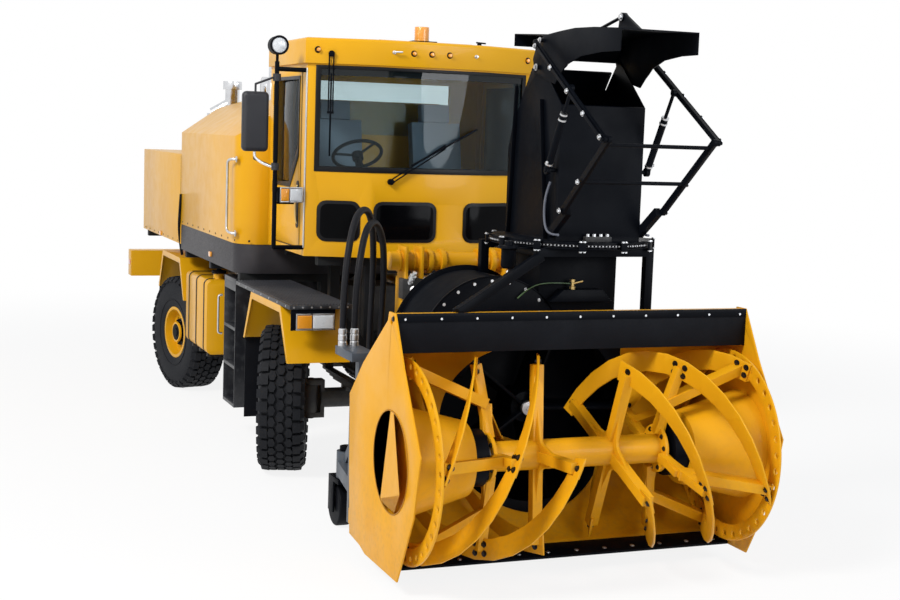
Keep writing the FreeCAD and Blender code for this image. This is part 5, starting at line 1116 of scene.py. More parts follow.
# %% Tyres and hubs
CARCASS = [(-0.153, 0.264), (-0.165, 0.290), (-0.178, 0.322), (-0.187, 0.400), (-0.190, 0.442),
           (-0.189, 0.500), (-0.182, 0.548), (-0.166, 0.588), (-0.110, 0.602), (0.110, 0.602),
           (0.166, 0.588), (0.182, 0.548), (0.189, 0.500), (0.190, 0.442), (0.187, 0.400),
           (0.178, 0.322), (0.165, 0.290), (0.153, 0.264)]
TREAD_ROWS = ((-0.072, 0.0, 0.031), (0.0, 0.5, 0.033), (0.072, 0.0, 0.031))
TREAD_COUNT = 40
SHOULDER_COUNT = 34
TREAD_RADIUS = 0.609
SHOULDER_RADIUS, SHOULDER_X = 0.605, 0.134
FLANK_RADIUS, FLANK_X = 0.578, 0.174
BEAD_X, BEAD_RADIUS = 0.190, 0.36
NUT_COUNT, NUT_CIRCLE, NUT_TURN = 10, 0.134, 9


def tread_places(centre, axle, ahead):
    """Shoulder blocks and centre blocks of one tyre."""
    above = axle.cross(ahead)
    shoulder, middle = [], []

    def spot(angle, across, radius):
        up = ahead * math.cos(angle) + above * math.sin(angle)
        return centre + axle * across + up * radius, up

    for side in (-1, 1):
        for step in range(SHOULDER_COUNT):
            angle = 2 * math.pi * (step + 0.25 * side) / SHOULDER_COUNT
            at, up = spot(angle, side * SHOULDER_X, SHOULDER_RADIUS)
            shoulder.append((at, (up + axle * side * 0.13).normalized(), axle,
                             (0.031, 0.043, 0.018)))
            at, up = spot(angle, side * FLANK_X, FLANK_RADIUS)
            shoulder.append((at, (up + axle * side * 0.95).normalized(),
                             (axle - up * side * 0.95).normalized(), (0.024, 0.036, 0.011)))
    for across, phase, wide in TREAD_ROWS:
        for step in range(TREAD_COUNT):
            at, up = spot(2 * math.pi * (step + phase) / TREAD_COUNT, across, TREAD_RADIUS)
            middle.append((at, up, axle, (wide * 1.06, 0.046, 0.0155)))
    return shoulder, middle


for place in ("front", "rear"):
    for side, sign in (("left", 1), ("right", -1)):
        name = place + "_" + side
        wheel = "wheel_" + name
        centre = anchor("wheel_" + name + "_spin")
        axle = Vector(JOINTS["wheel_" + name + "_spin"]["axis"]).normalized() * sign
        ahead = Vector((0, 0, 1)).cross(axle).normalized()
        carcass = Workshop().lathe(centre, axle, CARCASS, 96, True)
        for edge in (1, -1):
            carcass.lathe(centre, axle, [
                (edge * (BEAD_X - 0.0125), BEAD_RADIUS), (edge * BEAD_X, BEAD_RADIUS + 0.004),
                (edge * BEAD_X, BEAD_RADIUS + 0.008),
                (edge * (BEAD_X - 0.0125), BEAD_RADIUS + 0.012)], 96, True)
        carcass = carcass.piece("tyre_carcass_" + name, wheel, "tyre_rubber", TYRE)
        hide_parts("tyre_" + name)
        shoulder, middle = tread_places(centre, axle, ahead)
        blocks("tyre_shoulders_" + name, wheel, "tyre_rubber", TYRE, shoulder)
        blocks("tyre_centre_" + name, wheel, "tyre_rubber", TYRE, middle, HEXAGONS)
        hub = Workshop()
        hub.lathe(centre, axle, [(0.066, 0.0), (0.066, 0.150), (0.070, 0.154), (0.080, 0.150),
                                 (0.082, 0.118), (0.120, 0.113), (0.146, 0.104), (0.152, 0.085),
                                 (0.152, 0.050), (0.160, 0.046), (0.160, 0.0)], 40)
        nuts = []
        for step in range(NUT_COUNT):
            a = math.radians(360 / NUT_COUNT * step + NUT_TURN)
            stud = centre + (ahead * math.cos(a) + Vector((0, 0, 1)) * math.sin(a)) * NUT_CIRCLE
            hub.rod(stud + axle * 0.080, stud + axle * 0.118, 0.0085, 8)
            nuts.append((stud + axle * 0.082, axle, 0.0185))
        hub.piece("hub_" + name, wheel, "black_paint", BLACK, 0.0)
        bolts("wheel_nuts_" + name, wheel, "black_paint", DARK_STEEL, nuts, 1.1, 1.2)
print("wheels dressed")

# %% [markdown]
# ## The two large hoses
# Two hydraulic hoses feed the motors of the head. They rise from steel fittings on the head's
# left corner as it is seen from the front, arch over, and hang down to the bulkhead of the
# hitch. Where they arch they wear a corrugated guard, which is a change of radius along the
# same tube. The route's points are those of the CAD model, here as the control points of a
# smooth curve.

# %% Hoses
HOSE_FOOT = Vector((0.0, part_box("hydraulic_hoses")[0].y + 0.024, 0.0))
HOSE_ROUTES = (
    ((-1.240, 0, 1.400), (-1.240, 0, 1.760), (-1.195, 0.055, 2.110), (-1.090, 0.210, 2.340),
     (-0.940, 0.430, 2.370), (-0.820, 0.650, 2.240), (-0.752, 0.810, 2.020),
     (-0.728, 0.882, 1.740), (-0.738, 0.888, 1.420), (-0.746, 0.878, 1.120),
     (-0.740, 0.885, 0.900), (-0.740, 0.885, 0.760)),
    ((-1.150, 0, 1.400), (-1.150, 0, 1.740), (-1.110, 0.045, 2.030), (-1.020, 0.190, 2.240),
     (-0.880, 0.410, 2.280), (-0.745, 0.630, 2.150), (-0.668, 0.795, 1.950),
     (-0.640, 0.876, 1.700), (-0.648, 0.890, 1.400), (-0.656, 0.880, 1.110),
     (-0.650, 0.885, 0.900), (-0.650, 0.885, 0.760)),
)
HOSE_RADIUS = 0.024
HOSE_SIDES = 16
RIB_PITCH = 0.0075
RIB_HIGH, RIB_LOW = 1.10, 0.97
GUARD = (0.10, 0.62)


def evenly(path, pitch):
    """The same path with its points a fixed distance apart."""
    out, carry = [path[0]], 0.0
    for one, two in zip(path, path[1:]):
        run = (two - one).length
        along = pitch - carry
        while along < run:
            out.append(one + (two - one) * (along / run))
            along += pitch
        carry = (carry + run) % pitch
    out.append(path[-1])
    return out


def length_of(path):
    return sum((two - one).length for one, two in zip(path, path[1:]))


def crimp(shop, at, way):
    """Steel ferrule with two grooves round a hose end."""
    shop.lathe(at, way, [(0.0, 0.022), (0.0, 0.031), (0.030, 0.031), (0.034, 0.028), (0.040, 0.028),
                         (0.044, 0.0315), (0.080, 0.0315), (0.084, 0.028), (0.090, 0.028),
                         (0.094, 0.031), (0.122, 0.030), (0.128, 0.0245), (0.128, 0.022)], 24)


for label, route in zip(("outer", "inner"), HOSE_ROUTES):
    path = evenly(smooth_path([HOSE_FOOT + Vector(p) for p in route], 24), RIB_PITCH)
    shop = Workshop()
    shop.sweep(path, HOSE_RADIUS, HOSE_SIDES)
    shop.bm.verts.ensure_lookup_table()
    first, last = (int(share * len(path)) for share in GUARD)
    for index in range(first, last):
        centre = path[index]
        grow = RIB_HIGH if index % 2 else RIB_LOW
        for vert in shop.bm.verts[index * HOSE_SIDES:(index + 1) * HOSE_SIDES]:
            vert.co = centre + (vert.co - centre) * grow
    hose = shop.piece("hose_" + label, None, "hose_rubber", HOSE, angle=60)
    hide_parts("hydraulic_hoses")
    ends = Workshop()
    crimp(ends, path[0], path[3] - path[0])
    ends = ends.piece("hose_foot_" + label, "head", "bright_steel", ZINC)
    far = Workshop()
    crimp(far, path[-1], path[-4] - path[-1])
    far = far.piece("hose_far_end_" + label, "lift_arms", "bright_steel", ZINC)
    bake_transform(hose)
    tuple(path[0])
    round(length_of(path), 2)
    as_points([tuple(p) for p in path[::4]]
            + [tuple(path[-1])])
    print("hose", label, round(length_of(path), 3), "m")

# %% [markdown]
# ## Cab details
# The cab's front is folded: a flat middle and two panels that slant back. Window rubbers and
# lamps sit on that folded face, so a small function gives its depth at any width. Windows
# with round corners are panels laid on the sheet, a black rubber one with a dark pane on it.

# %% Window rubbers
ROOF_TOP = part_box("cab_shell")[1].z
CAB_HALF = 1.016
FOLD_X = 0.500
FOLD_DEPTH = 0.180
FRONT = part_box("wiper_lower")[1].y


def front_at(x):
    return FRONT + FOLD_DEPTH * max(0.0, abs(x) - FOLD_X) / (CAB_HALF - FOLD_X)


def on_front(u, v, d):
    return Vector((u, front_at(u) - d, v))


def front_loop(half, low, high, d):
    """Loop round a wide window of the front, with its points at the folds."""
    row = (-half, -FOLD_X, FOLD_X, half)
    return [on_front(x, low, d) for x in row] + [on_front(x, high, d) for x in row[::-1]]


SCREEN_LOW, SCREEN_HIGH, SCREEN_HALF = 2.600, 3.460, 0.941
LOW_PANES = ((-0.900, -0.600), (-0.450, 0.070), (0.360, 0.880))
rubber_frames = Workshop()
rubber_frames.frame(front_loop(SCREEN_HALF + 0.010, SCREEN_LOW - 0.010, SCREEN_HIGH + 0.006, -0.004),
                    front_loop(SCREEN_HALF - 0.030, SCREEN_LOW + 0.034, SCREEN_HIGH - 0.022,
                               -0.004), (0, -0.009, 0))
panes = Workshop()
for x0, x1 in LOW_PANES:
    rubber_frames.rounded_panel(on_front, (x0 - 0.022, 2.008), (x1 + 0.022, 2.352), 0.075,
                                (0.0, 0.007), (-FOLD_X, FOLD_X))
    panes.rounded_panel(on_front, (x0 + 0.006, 2.036), (x1 - 0.006, 2.324), 0.055,
                        (0.004, 0.010), (-FOLD_X, FOLD_X))
rubber_frames.piece("window_rubbers", "chassis", "black_rubber", GASKET, 0.0015)
# The low panes are opaque and near black: painted shade for the cab's dark inside seen through them.
panes.piece("low_panes", "chassis", "screen_glass", PAINTED_SHADE_PANE, 0.001)

band = Workshop()
band.frame(front_loop(SCREEN_HALF - 0.012, SCREEN_HIGH - 0.075, SCREEN_HIGH - 0.004, -0.0065),
           front_loop(SCREEN_HALF - 0.016, SCREEN_HIGH - 0.020, SCREEN_HIGH - 0.010, -0.0065),
           (0, -0.001, 0))
band.piece("sun_band", "chassis", "screen_glass", DARK_GLASS)
print("windows framed")

# %% Doors: rubber, handle and seams
DOOR_LOW, DOOR_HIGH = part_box("cab_door_left")
FACE = CAB_HALF


def door_loop(side, grow, slant, x):
    """Loop round the door's window; `slant` moves the edge over the front lower corner."""
    y0, y1 = DOOR_LOW.y + 0.070 - grow, DOOR_HIGH.y - 0.080 + grow
    z0, z1 = 2.450 - grow, DOOR_HIGH.z - 0.070 + grow
    return [Vector((side * x, y, z)) for y, z in (
        (y0, 2.720 - grow + slant), (y0 + 0.260, z0 + slant * 0.35), (y1, z0), (y1, z1), (y0, z1))]


for side, name in ((1, "left"), (-1, "right")):
    rubber_ring = Workshop()
    rubber_ring.frame(door_loop(side, 0.014, 0.0, FACE), door_loop(side, -0.016, 0.052, FACE),
                      (side * 0.006, 0, 0))
    rubber_ring.piece("door_rubber_" + name, "door_" + name, "black_rubber", GASKET, 0.0015)
    trough = Workshop()
    trough.rounded_panel(lambda u, v, d: Vector((side * (FACE + d), u, v)),
                         (DOOR_LOW.y + 0.028, 2.100), (DOOR_LOW.y + 0.112, 2.500), 0.036,
                         (-0.003, 0.004))
    trough.piece("handle_surround_" + name, "door_" + name, "black_rubber", GASKET, 0.001)
    grip = Workshop()
    y = DOOR_LOW.y + 0.070
    grip.tube([(side * (FACE + 0.002), y, 2.14), (side * (FACE + 0.018), y, 2.15),
               (side * (FACE + 0.018), y, 2.45), (side * (FACE + 0.002), y, 2.46)], 0.009)
    grip.piece("door_handle_" + name, "door_" + name, "steel", BRASS)
    seam = Workshop()
    for low, high in (((DOOR_LOW.y - 0.008, 1.938), (DOOR_LOW.y - 0.002, 3.442)),
                      ((DOOR_HIGH.y + 0.002, 1.938), (DOOR_HIGH.y + 0.008, 3.442)),
                      ((DOOR_LOW.y - 0.008, 1.934), (DOOR_HIGH.y + 0.008, 1.940))):
        seam.block((min(side * FACE, side * (FACE + 0.003)), low[0], low[1]),
                   (max(side * FACE, side * (FACE + 0.003)), high[0], high[1]))
    seam.piece("door_seal_" + name, "chassis", "black_rubber", GASKET)
    strip = Workshop()
    strip.tube([(side * 1.020, -1.772, 1.95), (side * 1.020, -1.772, 3.44)], 0.008, 10)
    strip.piece("door_pillar_trim_" + name, "chassis", "bright_steel", ZINC)
print("doors detailed")

# %% Lamps on the cab, the posts and the decks
bezels, fittings = Workshop(), Workshop()
for x in (-CAB_HALF + 0.070, -0.160, 0.0, 0.160, CAB_HALF - 0.070):
    lens_front = front_at(x) - 0.026 - (0.006 if abs(x) > FOLD_X else 0.0)
    bezels.lathe((x, lens_front + 0.008, 3.590), (0, -1, 0), [
        (0.0, 0.014), (0.0, 0.028), (0.006, 0.028), (0.010, 0.022), (0.010, 0.015)], 20, True)
for x in (-0.335, 0.400):
    fittings.lathe((x, front_at(x) - 0.024, 3.592), (0, -1, 0), [
        (0.0, 0.0), (0.0, 0.016), (0.006, 0.016), (0.010, 0.009), (0.034, 0.009), (0.036, 0.0)], 14)
fittings.rod((-0.335, FRONT - 0.052, 3.594), (-0.270, FRONT - 0.052, 3.596), 0.008, 10)
bezels.piece("marker_bezels", "chassis", "black_paint", RUBBER)
fittings.piece("visor_nozzles", "chassis", "steel", ZINC)

ambers, clears, trims = Workshop(), Workshop(), Workshop()
for inner, outer, low, high, face in ((1.045, 1.232, 2.330, 2.450, -1.794),
                                      (0.930, 1.240, 1.345, 1.470, -2.404)):
    split = outer - 0.42 * (outer - inner)
    for side in (-1, 1):
        for shop, x0, x1 in ((ambers, split + 0.004, outer - 0.006),
                             (clears, inner + 0.006, split - 0.004)):
            shop.block((min(side * x0, side * x1), face - 0.014, low + 0.010),
                       (max(side * x0, side * x1), face + 0.002, high - 0.010))
        for x0, x1 in ((inner, split), (split, outer)):
            loops = [[Vector((side * x, face, z)) for x, z in (
                (x0 + g, low + g), (x1 - g, low + g), (x1 - g, high - g), (x0 + g, high - g))]
                for g in (-0.004, 0.008)]
            trims.frame(loops[0], loops[1], (0, -0.009, 0))
ambers.piece("turn_lenses", "chassis", "amber_lens", AMBER, 0.005, segments=3)
clears.piece("head_lenses", "chassis", "clear_lens", CLEAR, 0.005, segments=3)
trims.piece("lamp_bezels", "chassis", "bright_steel", ZINC, 0.001)

POST_X, POST_Y = anchor("mirror_left_fold").x, anchor("mirror_left_fold").y
work, glasses = Workshop(), Workshop()
for side in (-1, 1):
    at = (side * POST_X, POST_Y - 0.054, 3.610)
    work.lathe(at, (0, -1, 0), [(0.0, 0.060), (0.0, 0.076), (0.004, 0.079), (0.012, 0.079),
                                (0.016, 0.074), (0.012, 0.062)], 32, True)
    glasses.lathe(at, (0, -1, 0), [(0.0, 0.0), (0.0, 0.062), (0.006, 0.062), (0.012, 0.045),
                                   (0.016, 0.0)], 32)
work.piece("work_lamp_rims", "chassis", "black_paint", RUBBER)
glasses.piece("work_lamp_lenses", "chassis", "clear_lens", CLEAR)

beacon = Workshop()
beacon_at = (0.0, FRONT + 0.240, ROOF_TOP + 0.022)
beacon.lathe(beacon_at, (0, 0, 1), [(0.0, 0.0), (0.0, 0.0635)] + [
    (0.010 + 0.010 * k, 0.0635 - 0.0022 * (k % 2)) for k in range(10)] + [
    (0.112, 0.055), (0.117, 0.030), (0.118, 0.0)], 32)
beacon.piece("beacon_lens", "chassis", "amber_lens", AMBER)
roof = Workshop()
roof.block((-0.42, FRONT + 0.120, ROOF_TOP), (0.42, FRONT + 0.380, ROOF_TOP + 0.010))
roof.piece("beacon_plate", "chassis", "yellow_paint", YELLOW, 0.003)
mast = Workshop()
mast.lathe((0.55, FRONT + 0.28, ROOF_TOP), (0, 0, 1), [
    (0.0, 0.0), (0.0, 0.034), (0.012, 0.034), (0.018, 0.020), (0.040, 0.018), (0.046, 0.0)], 20)
mast.rod((0.52, FRONT + 0.28, ROOF_TOP + 0.040), (0.61, FRONT + 0.28, ROOF_TOP + 0.036), 0.007, 10)
mast.piece("aerial_base", "chassis", "black_paint", RUBBER)
print("lamps detailed")

# %% Mirrors and their posts
rings = []
for side in (-1, 1):
    for step in range(62):
        rings.append(((side * POST_X, POST_Y, 2.42 + step * 0.0155), (0, 0, 1), (1, 0, 0),
                      (0.0235, 0.0235, 0.0045)))
blocks("post_sleeve_ribs", "chassis", "black_rubber", RUBBER,
       [ring for ring in rings if not 2.500 < ring[0][2] < 2.670 and not 3.30 < ring[0][2] < 3.42],
       ROUNDS)
for side, name in ((1, "left"), (-1, "right")):
    low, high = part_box("mirror_" + name)
    x = side * (POST_X + 0.175)
    back = POST_Y + 0.010 + 0.0475
    pane = Workshop()
    pane.rounded_panel(lambda u, v, d: Vector((u, back + d, v)), (x - 0.090, 2.765),
                       (x + 0.090, 3.205), 0.040, (-0.001, 0.003))
    pane.piece("mirror_pane_" + name, "mirror_" + name, "mirror_glass", MIRROR)
    edge = Workshop()
    edge.rounded_panel(lambda u, v, d: Vector((u, back + d, v)), (x - 0.098, 2.757),
                       (x + 0.098, 3.213), 0.044, (-0.004, 0.0012))
    edge.piece("mirror_rim_" + name, "mirror_" + name, "black_rubber", GASKET)
    arm = Workshop()
    arm.tube([(side * (POST_X + 0.034), POST_Y, 2.620),
              (side * (POST_X + 0.100), POST_Y + 0.002, 2.640),
              (x - side * 0.012, POST_Y + 0.008, 2.682), (x, POST_Y + 0.010, 2.700),
              (x, POST_Y + 0.010, 2.738)], 0.0115, 12)
    arm.piece("mirror_arm_" + name, "mirror_" + name, "bright_steel", CHROME)
print("mirrors detailed")

# %% [markdown]
# ## Chute, its chain ring and the fan casing
# A roller chain lies round the foot of the chute, and a small motor pulls it to swing the
# chute. The chain is one more thing that repeats along a circle, so its plates and rollers are
# blocks on points. Clamps hold the ring down. The long links are pairs of bars held apart by
# bolts, and the duct's side walls carry a stiffening rib where two sheets meet.

# %% Chain ring and clamps
CHUTE_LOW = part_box("chute_body")[0]
PIVOT = anchor("chute_swing")
RING_Z = CHUTE_LOW.z
CHAIN_RADIUS = 0.5735
CHAIN_LIFT = 0.016
CLAMP_RADIUS, CLAMP_COUNT = 0.592, 12
CLAMP_BOLT_RADIUS = 0.600
LINKS = 141


def round_chute(angle, radius, z):
    return Vector((PIVOT.x + radius * math.cos(angle), PIVOT.y + radius * math.sin(angle), z))


plates, rollers = [], []
for step in range(LINKS):
    angle = 2 * math.pi * step / LINKS
    out = Vector((math.cos(angle), math.sin(angle), 0))
    wide = 0.0032 if step % 2 else 0.0052
    for sign in (-1, 1):
        plates.append((round_chute(angle, CHAIN_RADIUS, RING_Z + CHAIN_LIFT + sign * wide * 1.5),
                       (0, 0, 1), out, (0.0075, 0.0145, 0.0012)))
    rollers.append((round_chute(angle + math.pi / LINKS, CHAIN_RADIUS, RING_Z + CHAIN_LIFT),
                    (0, 0, 1), out, (0.0058, 0.0058, 0.0058)))
blocks("chain_plates", "chute", "steel", DARK_STEEL, plates)
blocks("chain_rollers", "chute", "steel", ZINC, rollers, ROUNDS)

clamp_bolts, clamps = [], Workshop()
for step in range(CLAMP_COUNT):
    angle = 2 * math.pi * (step + 0.4) / CLAMP_COUNT
    out = Vector((math.cos(angle), math.sin(angle), 0))
    across = Vector((-out.y, out.x, 0)) * 0.026
    foot = round_chute(angle, CLAMP_RADIUS, RING_Z - 0.020)
    clamps.plate([foot - across, foot + across, foot + across + out * 0.014,
                  foot - across + out * 0.014], (0, 0, 0.062))
    lip = round_chute(angle, 0.540, RING_Z + 0.034)
    clamps.plate([lip - across, lip + across, lip + across + out * 0.066,
                  lip - across + out * 0.066], (0, 0, 0.009))
    for sign in (-1, 1):
        for lift, way in ((0.043, 1), (-0.020, -1)):
            at = round_chute(angle, CLAMP_BOLT_RADIUS, RING_Z + lift) + across * sign * 0.5
            clamp_bolts.append((at, (0, 0, way), 0.010))
clamps.piece("ring_clamps", "head", "black_paint", BLACK, 0.002)
bolts("ring_clamp_bolts", "head", "steel", ZINC, clamp_bolts)

motor = Workshop()
post = round_chute(math.radians(205), 0.66, RING_Z)
motor.lathe(post + Vector((0, 0, -0.16)), (0, 0, 1), [
    (0.0, 0.0), (0.0, 0.045), (0.02, 0.052), (0.13, 0.052), (0.14, 0.070), (0.155, 0.070),
    (0.16, 0.030), (0.185, 0.030), (0.19, 0.0)], 28)
motor.plate([post + Vector((x, y, -0.022)) for x, y in (
    (-0.075, -0.070), (0.20, -0.050), (0.20, 0.050), (-0.075, 0.070))], (0, 0, 0.010))
motor.piece("swing_motor", "head", "black_paint", BLACK, 0.002)
print("chain ring built")

# %% Ribs, links and pipes of the chute
WALL_LEFT, WALL_RIGHT = PIVOT.x - 0.320, PIVOT.x + 0.320
ribs = Workshop()
for x, side in ((WALL_LEFT, -1), (WALL_RIGHT, 1)):
    for foot, top in (((-4.480, 2.245), (-4.330, 3.200)), ((-3.840, 2.245), (-3.905, 3.300))):
        ribs.plate([(x, foot[0], foot[1]), (x, foot[0] + 0.008, foot[1]),
                    (x, top[0] + 0.008, top[1]), (x, top[0], top[1])], (side * 0.030, 0, 0))
ribs.piece("chute_side_ribs", "chute", "black_paint", BLACK, 0.001)

ARM_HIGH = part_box("chute_arms")[1]
LINK_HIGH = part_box("chute_links")[1]
TIP = Vector((0, PIVOT.y - 1.250, 2.940))
HOOD_END = Vector((0, PIVOT.y - 0.130, 3.600))
ARM_END = Vector((0, PIVOT.y - 0.640, 2.460))
RAM_FOOT = Vector((0, PIVOT.y - 0.380, 2.720))
RAM_TOP = Vector((0, PIVOT.y - 0.700, 3.264))
LINK_BOLT = 0.0135
ALONG_LINK = (HOOD_END - TIP).normalized()
HALF_BAR = Vector((0, -ALONG_LINK.z, ALONG_LINK.y)) * 0.012


def link_point(face, share):
    """Point at a share of the way up a long link, on the plane x = face."""
    return Vector((face, 0, 0)) + TIP + (HOOD_END - TIP) * share


link_bolts, arm_bolts, outer_bars = [], [], Workshop()
for side in (-1, 1):
    face = PIVOT.x + side * (LINK_HIGH.x - PIVOT.x)
    step_out = Vector((side * 0.016, 0, 0))
    for share in (0.02, 0.24, 0.46, 0.70, 0.93):
        at = link_point(face, share)
        link_bolts.append((at + step_out, (side, 0, 0), LINK_BOLT))
        outer_bars.rod(at, at + step_out, 0.011, 10)
    corners = [link_point(face, share) + HALF_BAR * way + step_out * 0.55
               for share, way in ((0.0, 1), (0.95, 1), (0.95, -1), (0.0, -1))]
    outer_bars.plate(corners, step_out * 0.42)
    face = PIVOT.x + side * (ARM_HIGH.x - PIVOT.x - 0.028)
    for share in (0.0, 0.42):
        arm_bolts.append((Vector((face, 0, 0)) + ARM_END + (TIP - ARM_END) * share,
                          (side, 0, 0), LINK_BOLT))
bolts("link_bolts", "chute_links", "steel", ZINC, link_bolts)
bolts("arm_bolts", "chute_arms", "steel", ZINC, arm_bolts)
outer_bars.piece("link_outer_bars", "chute_links", "black_paint", BLACK, 0.001)

ram_ends = Workshop()
for side in (-1, 1):
    x = PIVOT.x + side * 0.382
    way = (RAM_TOP - RAM_FOOT).normalized()
    foot = Vector((x, RAM_FOOT.y, RAM_FOOT.z))
    for share, radius in ((0.045, 0.029), (0.39, 0.029), (0.43, 0.027)):
        ram_ends.lathe(foot + way * share, way, [(0.0, 0.0), (0.0, radius), (0.012, radius),
                                                 (0.016, 0.0)], 20)
    port = foot + way * 0.06
    ram_ends.rod(port, port + Vector((side * 0.030, -0.02, 0)), 0.010, 10)
ram_ends.piece("ram_fittings", "chute_cylinders", "bright_steel", ZINC)

pipes = Workshop()
for side in (-1, 1):
    x = PIVOT.x + side * 0.345
    pipes.tube([(x, -4.545, 2.640), (x + side * 0.020, -4.520, 2.560),
                (x + side * 0.020, -4.500, 2.420), (x + side * 0.020, -4.540, 2.310),
                (x + side * 0.015, -4.640, 2.285), (x, -4.700, 2.290)], 0.009, 10)
pipes.piece("chute_pipes", "chute", "bright_steel", PIPE_GREY)
manifold = Workshop()
manifold.block((WALL_LEFT + 0.20, CHUTE_LOW.y + 0.175, RING_Z + 0.032),
               (WALL_LEFT + 0.40, CHUTE_LOW.y + 0.215, RING_Z + 0.075))
manifold.piece("chute_manifold", "chute", "black_paint", CAST, 0.003)
taps = []
for step in range(4):
    taps.append((Vector((WALL_LEFT + 0.225 + step * 0.05, CHUTE_LOW.y + 0.195, RING_Z + 0.075)),
                 (0, 0, 1), 0.012))
bolts("manifold_plugs", "chute", "bright_steel", ZINC, taps, 1.4, 1.2)

hood_bolts = []
for side in (-1, 1):
    x = PIVOT.x + side * 0.332
    hood_bolts += [((x + side * 0.018, PIVOT.y - 0.060, 3.420), (side, 0, 0), 0.017),
                   ((x + side * 0.030, HOOD_END.y, HOOD_END.z), (side, 0, 0), 0.0145)]
eye = Vector((PIVOT.x, PIVOT.y - 1.220 + 0.565, 3.748))
hood_bolts += [(eye + Vector((side * 0.019, 0, 0)), (side, 0, 0), 0.017) for side in (-1, 1)]
bolts("hood_bolts", "deflector", "steel", ZINC, hood_bolts)
stay = Workshop()
stay.rod(eye + Vector((-0.012, 0, 0)), (PIVOT.x - 0.02, PIVOT.y - 0.18, 3.648), 0.011)
stay.piece("hood_stay", "deflector", "black_paint", BLACK)

# A plate closes the gap between the duct's back wall and the deflector.
INSET = 0.008
back = Workshop()
back.plate([(WALL_LEFT + INSET, y, z) for y, z in ((-3.930, 3.200), (-3.942, 3.190),
                                                  (-4.112, 3.410), (-4.100, 3.420))],
           (WALL_RIGHT - WALL_LEFT - 2 * INSET, 0, 0))
back.piece("chute_back_plate", "chute", "black_paint", BLACK, 0.001)
print("chute detailed")

# %% Fan casing: rim bolts, guard, marker line and grease valve
CASE_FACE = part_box("impeller_housing")[0].y
HUMP = Vector((-0.370, CASE_FACE, 1.435))
RIM_BOLT_CIRCLE, RIM_RADIUS = 0.505, 0.532
rim_rows = []
for step in range(9):
    a = math.radians(32 + step * 15)
    out = Vector((math.cos(a), 0, math.sin(a)))
    rim_rows.append((HUMP + out * RIM_BOLT_CIRCLE, (0, -1, 0), 0.007))
bolts("case_bolts", "head", "steel", ZINC, rim_rows, 0.5, 1.6)
lip = Workshop()
arc = [math.radians(25 + 6 * k) for k in range(23)]
rim_outs = [Vector((math.cos(a), 0, math.sin(a))) for a in arc]
lip.band([HUMP + out * RIM_RADIUS for out in rim_outs], rim_outs, (0, 0.020, 0), 0.010)
lip.piece("case_rim", "head", "black_paint", BLACK, 0.001)
guard = Workshop()
GUARD_BACK = CASE_FACE - 0.004
guard.plate([(x, GUARD_BACK, z) for x, z in ((0.02, 1.800), (0.12, 1.885), (0.42, 1.885),
                                             (0.50, 1.800))], (0, -0.090, 0))
guard.piece("shaft_guard", "head", "black_paint", BLACK, 0.003)
valve = Workshop()
valve.lathe((0.20, CASE_FACE - 0.060, 1.885), (0, 0, 1), [
    (0.0, 0.0), (0.0, 0.022), (0.02, 0.022), (0.022, 0.014), (0.05, 0.014), (0.052, 0.020),
    (0.07, 0.020), (0.074, 0.0)], 6)
valve.rod((0.20, CASE_FACE - 0.060, 1.925), (0.27, CASE_FACE - 0.080, 1.945), 0.008, 10)
valve.piece("grease_valve", "head", "bright_steel", BRASS)
line = Workshop()
line.tube([(-0.20, CASE_FACE - 0.02, 1.82), (-0.12, CASE_FACE - 0.03, 1.90),
           (0.02, CASE_FACE - 0.04, 1.935), (0.18, CASE_FACE - 0.06, 1.925)], 0.005, 8)
line.piece("grease_pipe", "head", "bright_steel", GREEN)
print("fan casing detailed")

# %% Side plates: folded cover in the round hole and the top lug
covers, lug_bolts = Workshop(), []
HOLE = 0.330
for side in (-1, 1):
    flat, raised = side * 1.3005, side * 1.334

    def hole(u, w, x):
        """Point of the hole: u toward the front and w upward, in shares of its radius."""
        return Vector((x, AXIS_Y - u * HOLE, AXIS_Z + w * HOLE))

    arc = [math.radians(a) for a in range(82, 247, 6)]
    left = [hole(math.cos(a), math.sin(a), flat) for a in arc]
    points = left + [hole(0.86, -0.44, raised), hole(0.16, 0.96, flat + side * 0.004),
                     hole(0.30, -0.93, flat)]
    count = len(left)
    covers.faces(points, [tuple(range(count + 2)) if side > 0 else tuple(range(count + 2))[::-1]]
                 + [(count - 1, count + 2, count)])
    lug_bolts.append(((side * 1.300, AXIS_Y + 0.016, 1.764), (side, 0, 0), 0.013))
bmesh.ops.solidify(covers.bm, geom=covers.bm.faces[:], thickness=0.005)
covers.piece("side_cover_folds", "head", "yellow_paint", YELLOW_HEAD, 0.0, 12)
bolts("side_lug_bolts", "head", "black_paint", DARK_STEEL, lug_bolts)
# The rim round the inside of each hole takes the shaded yellow copy: painted shade on the hole's
# inner edge.
rims = Workshop()
for side in (-1, 1):
    rims.lathe((side * 1.300, AXIS_Y, AXIS_Z), (side, 0, 0), [
        (-0.004, HOLE), (0.0035, HOLE + 0.001), (0.0035, HOLE + 0.007), (-0.004, HOLE + 0.008)],
        64, True)
rims.piece("side_cover_rims", "head", "yellow_paint", YELLOW_PAINTED_SHADE)
print("side plates detailed")

# %% [markdown]
# ## Engine hood, tanks and decks
# The sheet metal behind the cab is plain, so its small fittings tell its size: a bright grab
# rail by the ladder, screws along the lower edge, one seam, three straps round each tank,
# and the slats of the deck. Slats and screws repeat, so they are blocks and bolts on points.

